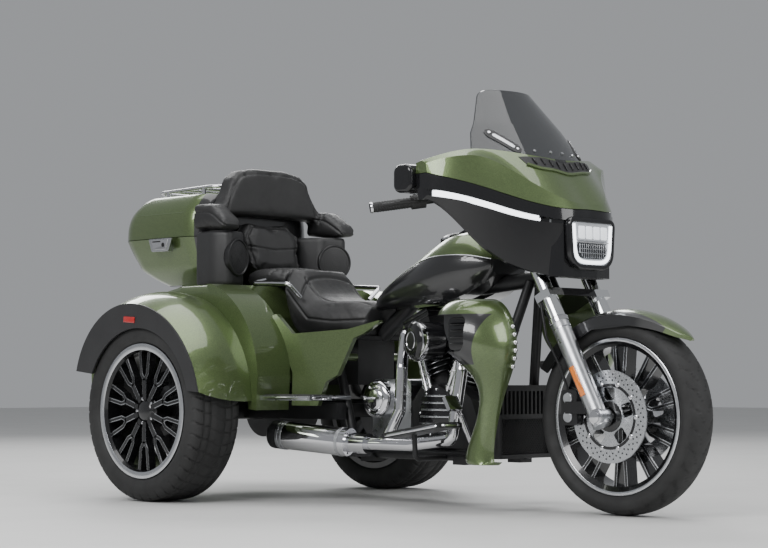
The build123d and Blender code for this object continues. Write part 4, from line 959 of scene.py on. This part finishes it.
# Lower fairings: dark scoop with louvres, bright beads
low_skin = surface("lower_fairings")
scoop = rounded([(X(1148), 0.536), (X(1300), 0.536), (X(1300), 0.646), (X(1148), 0.646)], 0.026, 6)
louvres = [block((0.128, 0.012, 0.0035), put(X(1228), -0.29, 0.558 + 0.022 * k, 28, "X")) for k in range(4)]
turns = [math.pi * i / 8 for i in range(9)]
ball = [(-0.008 * math.cos(a), 0.0085 * math.sin(a) if 0 < i < 8 else 0) for i, a in enumerate(turns)]
beads = []
for k in range(6):
    hit = drop_on(low_skin, (3, -0.238, 0.612 - 0.026 * k), (-1, 0, 0))[0]
    beads.append(lathe(ball, hit + Vector((0.003, 0, 0)), (1, 0, 0), 18))
pair("scoop_panels", [plate_y(scoop, -0.279, -0.285)], BLACK, bevel=0.0015)
pair("scoop_louvres", louvres, DARK, bevel=0.001)
pair("lower_beads", beads, CHROME)

# Oil cooler: crossing wires in the lower frame, cut to its opening
MESH_X, MESH_HALF, MESH_LOW, MESH_TOP = X(1237), 0.12, 0.188, 0.304
MESH_STEP = 0.0125
wires = []
for way in (-1, 1):
    for k in range(-40, 60):
        start = MESH_LOW + k * MESH_STEP
        near, far = sorted((z - start) * way - MESH_HALF for z in (MESH_LOW, MESH_TOP))
        ends = (max(-MESH_HALF, near), min(MESH_HALF, far))
        if ends[1] - ends[0] > 0.004:
            line = [(MESH_X + 0.0012 * way, y, start + way * (y + MESH_HALF)) for y in ends]
            wires.append(tube(line, 0.0011, 4))
piece("cooler_mesh", join(wires), DARK)


# Boards: ribbed pads and bright edges, pedal ribs
def edge_loop(place, lx, ly, r):
    out = rounded([(-lx, -ly), (lx, -ly), (lx, ly), (-lx, ly)], 0.03, 6)
    pts = [place @ Vector((x, y, 0)) for x, y in out]
    return tube(pts + pts[:1], r)


deck = put(X(1060), -0.322, 0.268, -9)
rear_deck = put(X(510), -0.393, 0.374)
pads = [block((0.24, 0.0085, 0.005), deck @ put(0, -0.042 + 0.0168 * k, 0.0102)) for k in range(6)]
pads.append(block((0.258, 0.102, 0.003), deck @ put(0, 0, 0.0092)))
pads += [block((0.232, 0.0085, 0.005), rear_deck @ put(0, -0.036 + 0.018 * k, 0.0102)) for k in range(5)]
pads.append(block((0.248, 0.094, 0.003), rear_deck @ put(0, 0, 0.0092)))
pair("board_pads", pads, RUBBER, bevel=0.0012)
loops = [edge_loop(deck, 0.134, 0.055, 0.0052), edge_loop(rear_deck, 0.129, 0.052, 0.0052)]
pair("board_edges", loops, CHROME)
pedal = put(X(1210), -0.33, 0.36, -30)
ribs = [block((0.005, 0.054, 0.005), pedal @ put(-0.0088, 0, -0.018 + 0.012 * k)) for k in range(4)]
pair("pedal_ribs", ribs, RUBBER, bevel=0.001)

# Fork: reflectors, collars, axle nuts, caliper caps
RAKE = 28
SR, CR = math.sin(math.radians(RAKE)), math.cos(math.radians(RAKE))
LEG_OUT = 0.075
leg_way = Vector((-SR, 0, CR))


def leg(up, y):
    return Vector((1.09 + LEG_OUT * CR - up * SR, y, LEG_OUT * SR + up * CR))


reflector = block((0.02, 0.006, 0.105), put(*leg(0.452, -0.158), -RAKE))
collars = []
for up, r, h in ((0.664, 0.0335, 0.018), (0.64, 0.0322, 0.006)):
    rows = [(0, 0.0305), (0.001, r), (h - 0.001, r), (h, 0.0305)]
    collars.append(lathe(rows, leg(up, -0.125), leg_way, 40))
nut_rows = [(0, 0.0255), (0.004, 0.0255), (0.0045, 0.02), (0.012, 0.019), (0.014, 0.012), (0.014, 0)]
nut = lathe(nut_rows, (FRONT, -0.1512, 0.32), RIGHT, 24)
cap_rows = [(0, 0.0185), (0.004, 0.0183), (0.006, 0.016), (0.0055, 0)]
caps = [lathe(cap_rows, (FRONT - 0.148, -0.112, z), RIGHT, 28) for z in (0.318, 0.378)]
pair("fork_reflectors", [reflector], AMBER, "steering", bevel=0.002)
pair("fork_collars", collars, CHROME, "steering")
pair("axle_nuts", [nut], CHROME, "steering")
pair("caliper_caps", caps, SILVER, "steering")

# Front fender: a smooth painted skin over the plain arch
# rows: angle from ahead, radius, half width, depth, in degrees and mm
fender_rows = [(42, 368, 6, 8), (52, 360, 46, 26), (75, 350, 78, 48), (105, 346, 82, 56), (130, 346, 82, 56),
               (152, 350, 80, 50)]
SKIN_OUT, SKIN_IN, SKIN_HANG = 1.2, 0.4, 0.6
CROWN = 0.4
across = [k / 10 - 1.0 for k in range(21)]
rings = []
for angle, radius, half, depth in smoothed(fender_rows, 8):
    a = math.radians(angle)
    out, low = half + SKIN_OUT, -depth - SKIN_HANG
    section = [(-out, low)] + [(out * t, SKIN_OUT - CROWN * depth * t * t) for t in across] + [(out, low)]
    out = half + SKIN_IN
    inside = [(out * t, 0.2 - CROWN * depth * t * t) for t in reversed(across)]
    section += [(out, low)] + inside + [(-out, low)]
    ring = []
    for y, d in section:
        r = (radius + d) / 1000
        ring.append(FRONT_C + Vector((r * math.cos(a), y / 1000, r * math.sin(a))))
    rings.append(ring)
steered("fender_skin", loft(rings), FENDER, sharp=28)

# Hand grips: ribs and end caps
GRIP_END = Vector((X(985), -0.468, 1.014))
grip_way = (Vector((X(1118), -0.29, 1.046)) - GRIP_END).normalized()
rib_rows = [(0, 0.0168), (0.0008, 0.0182), (0.0042, 0.0182), (0.005, 0.0168)]
ribs = [lathe(rib_rows, GRIP_END + grip_way * (0.006 + 0.0092 * k), grip_way, 24) for k in range(12)]
pair("grip_ribs", ribs, RUBBER, "steering")
end_rows = [(-0.01, 0), (-0.01, 0.0165), (-0.007, 0.0185), (-0.002, 0.0185), (0, 0.0168)]
pair("grip_ends", [lathe(end_rows, GRIP_END - grip_way * 0.006, grip_way, 28)], CHROME, "steering")

# Rear fenders: side marker lamps
marker = block((0.064, 0.006, 0.022), put(X(-40), -0.7075, 0.655, 4))
pair("side_markers", [marker], RED, bevel=0.0026)

# Speaker pods: rounded cases with a round housing and a ribbed grille
pod_x = REAR - 0.1417
pod_plan = [(0, 156), (0, 322), (120, 336), (182, 300), (150, 200), (40, 156)]
plan = [Vector(p) for p in rounded([(pod_x + x / 1000, y / 1000) for x, y in pod_plan], 0.026, 6)]
mid = sum(plan, Vector((0, 0))) / len(plan)
pod_rows = [(0.792, 0.9), (0.795, 0.955), (0.802, 0.99), (0.81, 1.0), (0.979, 1.0), (0.987, 0.99),
            (0.994, 0.955), (0.997, 0.9)]
pod = loft([[(*(mid + (p - mid) * fill), z) for p in plan] for z, fill in pod_rows])
o = pair("speaker_cases", [pod], DARK, sharp=50)
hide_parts("speaker_pods")
face = Vector((0.952, -0.305, 0)).normalized()
spot = Vector((pod_x + 0.166, 0.25, 0.898))
case_rows = [(-0.034, 0.05), (-0.016, 0.066), (-0.002, 0.0705), (0.006, 0.0705), (0.0085, 0.0685),
             (0.0085, 0.0645), (0.005, 0.062), (0.005, 0)]
pair("speaker_rings", [lathe(case_rows, spot, face, 56)], IRON)
grilles = [lathe([(0.0052, 0.0615), (0.0085, 0.044), (0.0104, 0.022), (0.011, 0)], spot, face)]
for k in range(6):
    r = 0.012 + 0.008 * k
    top = 0.0118 - 1.5 * r * r
    low = top - 0.0038
    rows = [(low, r - 0.0014), (top, r - 0.0009), (top, r + 0.0009), (low, r + 0.0014)]
    grilles.append(lathe(rows, spot, face))
pair("speaker_grilles", grilles, DARK)


# Top box: smooth painted skins over the straight-sided shells
def box_ring(rear, front, half, corner, z, inset=0.0):
    rear, front, half = rear + inset, front - inset, half - inset
    middles = [(front - corner, half - corner), (rear + corner, half - corner)]
    middles += [(x, -y) for x, y in reversed(middles)]
    ring = []
    for k, (x, y) in enumerate(middles):
        for step in range(9):
            a = math.radians(90 * k + 90 * step / 8)
            ring.append((X(x + corner * math.cos(a)), (y + corner * math.sin(a)) / 1000, z / 1000))
    return ring


# rows: rear x, front x, half width, corner radius and z, in mm
LIP = 2.0
lid_rows = [(-651, -143, 301, 100, 988.2), (-649, -143, 300, 100, 1030), (-642, -143, 295.5, 100, 1066),
            (-627, -144, 285, 99, 1098), (-602, -147, 267, 94, 1127), (-578, -150, 249, 88, 1146),
            (-561, -151.5, 239, 84, 1153.4)]
base_rows = [(-471, -143, 217, 72, 805.6), (-504, -143, 231, 78, 820), (-543, -143, 248, 84, 840),
             (-586, -143, 267.5, 90, 868), (-608, -143, 277.5, 94, 900), (-631, -143, 289, 97, 940),
             (-651, -143, 301, 100, 985.6)]
rings = [box_ring(*lid_rows[0], inset=LIP)] + [box_ring(*row) for row in smoothed(lid_rows, 3)]
verts, faces = loft(rings, caps=False)
faces.append(tuple(range(len(verts) - len(rings[0]), len(verts))))
piece("lid_skin", (verts, faces), BOX, "top_box_cover")
rings = [box_ring(*row) for row in smoothed(base_rows, 3)] + [box_ring(*base_rows[-1], inset=LIP)]
piece("base_skin", loft(rings, caps=False), BOX)

# Latch of the top box: plate, paddle, lock and a slot of painted shade on the face of its block
latch_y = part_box("top_box_latch")[0].y
plate = rounded([(X(-424), 0.984), (X(-280), 0.984), (X(-300), 0.934), (X(-404), 0.934)], 0.008)
piece("latch_plate", plate_y(plate, latch_y + 0.003, latch_y - 0.0035), SILVER, bevel=0.0014)
paddle = rounded([(X(-404), 0.979), (X(-300), 0.979), (X(-314), 0.941), (X(-391), 0.941)], 0.005)
piece("latch_paddle", plate_y(paddle, latch_y - 0.003, latch_y - 0.0058), CHROME, bevel=0.0012)
lock_rows = [(0, 0.0085), (0.0018, 0.0082), (0.0022, 0.0058), (0.0008, 0.0052), (0.0008, 0)]
piece("latch_lock", lathe(lock_rows, (X(-330), latch_y - 0.0055, 0.959), RIGHT, 24), IRON)
# the slot is not cut: a thin dark strip on the paddle is painted shade
slot = rounded([(X(-396), 0.975), (X(-346), 0.975), (X(-346), 0.97), (X(-396), 0.97)], 0.002)
piece("latch_slot_shade", plate_y(slot, latch_y - 0.005, latch_y - 0.0064), IRON)

# Mirror glass, trunk door pull over a dark patch of painted shade, switches beside the grips
mirror_skin = surface("mirrors")
for side, tag in SIDES:
    a, b = side * 0.407, side * 0.456
    edge = rounded([(a, 1.068), (b, 1.068), (b, 1.138), (a, 1.138)], 0.012)
    steered(f"mirror_glass_{tag}", patch(mirror_skin, edge, "-x", 0.0012, 0.006, 0.002), CHROME)
# the pull's recess is not cut: a dark patch laid on the door is painted shade for it
pull_shade = rounded([(-0.085, 0.546), (0.085, 0.546), (0.085, 0.584), (-0.085, 0.584)], 0.012)
piece("door_pull_shade", patch(surface("tailgate"), pull_shade, "-x", 0.0012, 0.01, 0.002), DARK, "trunk_door")
pull = [(X(x), y, 0.572) for x, y in ((-606, -0.066), (-617, -0.05), (-617, 0.05), (-606, 0.066))]
piece("door_pull", tube(curve_points(pull), 0.0048, 12), CHROME, "trunk_door")
up = Vector((0, 0, 1))
back = grip_way.cross(up).normalized()
back = back if back.x < 0 else -back
keys = []
for k in range(3):
    spot = GRIP_END + grip_way * (0.136 + 0.014 * k)
    for out, size in ((up, 0.01), (back, 0.009)):
        place = Matrix.Translation(spot + out * 0.0245) @ out.to_track_quat("Z", "Y").to_matrix().to_4x4()
        keys.append(block((size, size, 0.004), place))
pair("switch_keys", keys, IRON, "steering", bevel=0.0012)

# Floor, light and camera
bpy.ops.mesh.primitive_plane_add(size=40, location=(0, 0, -0.0005))
floor = bpy.context.object
floor.name = "floor"
FLOOR = material("floor_grey", (0.62, 0.62, 0.61), 0.55, vary=0.03, grain=2.0, wear=0.05)
floor.data.materials.append(FLOOR)


def area(name, place, aim, size, power):
    light = bpy.data.lights.new(name, "AREA")
    light.shape = "RECTANGLE"
    light.size, light.size_y = size
    light.energy = power
    o = add(name, light)
    o.location = place
    o.rotation_euler = (Vector(aim) - Vector(place)).to_track_quat("-Z", "Y").to_euler()


area("key", (1.5, -6.5, 4.5), (0, 0, 0.6), (5.0, 2.5), 420)
area("front_fill", (6.5, 1.5, 3.5), (0.3, 0, 0.6), (3.5, 3.5), 200)
area("back_rim", (-5.0, 3.5, 4.5), (0, 0, 0.7), (5.0, 2.0), 260)
area("top", (0, 0, 6.0), (0, 0, 0.5), (6.0, 4.0), 240)
world = bpy.data.worlds.new("studio")
world.use_nodes = True
world.node_tree.nodes["Background"].inputs["Color"].default_value = (0.75, 0.77, 0.8, 1)
world.node_tree.nodes["Background"].inputs["Strength"].default_value = 0.45
bpy.context.scene.world = world

camera = bpy.data.cameras.new("camera")
camera.sensor_width = 36.0
camera.lens = 92.2
camera.shift_x = -0.0025
camera.shift_y = 0.0029
eye = add("camera", camera)
eye.location = (5.0094, -5.0584, 0.4429)
eye.rotation_euler = (Vector((-0.089, 0, 0.816)) - eye.location).to_track_quat("-Z", "Y").to_euler()
bpy.context.scene.camera = eye
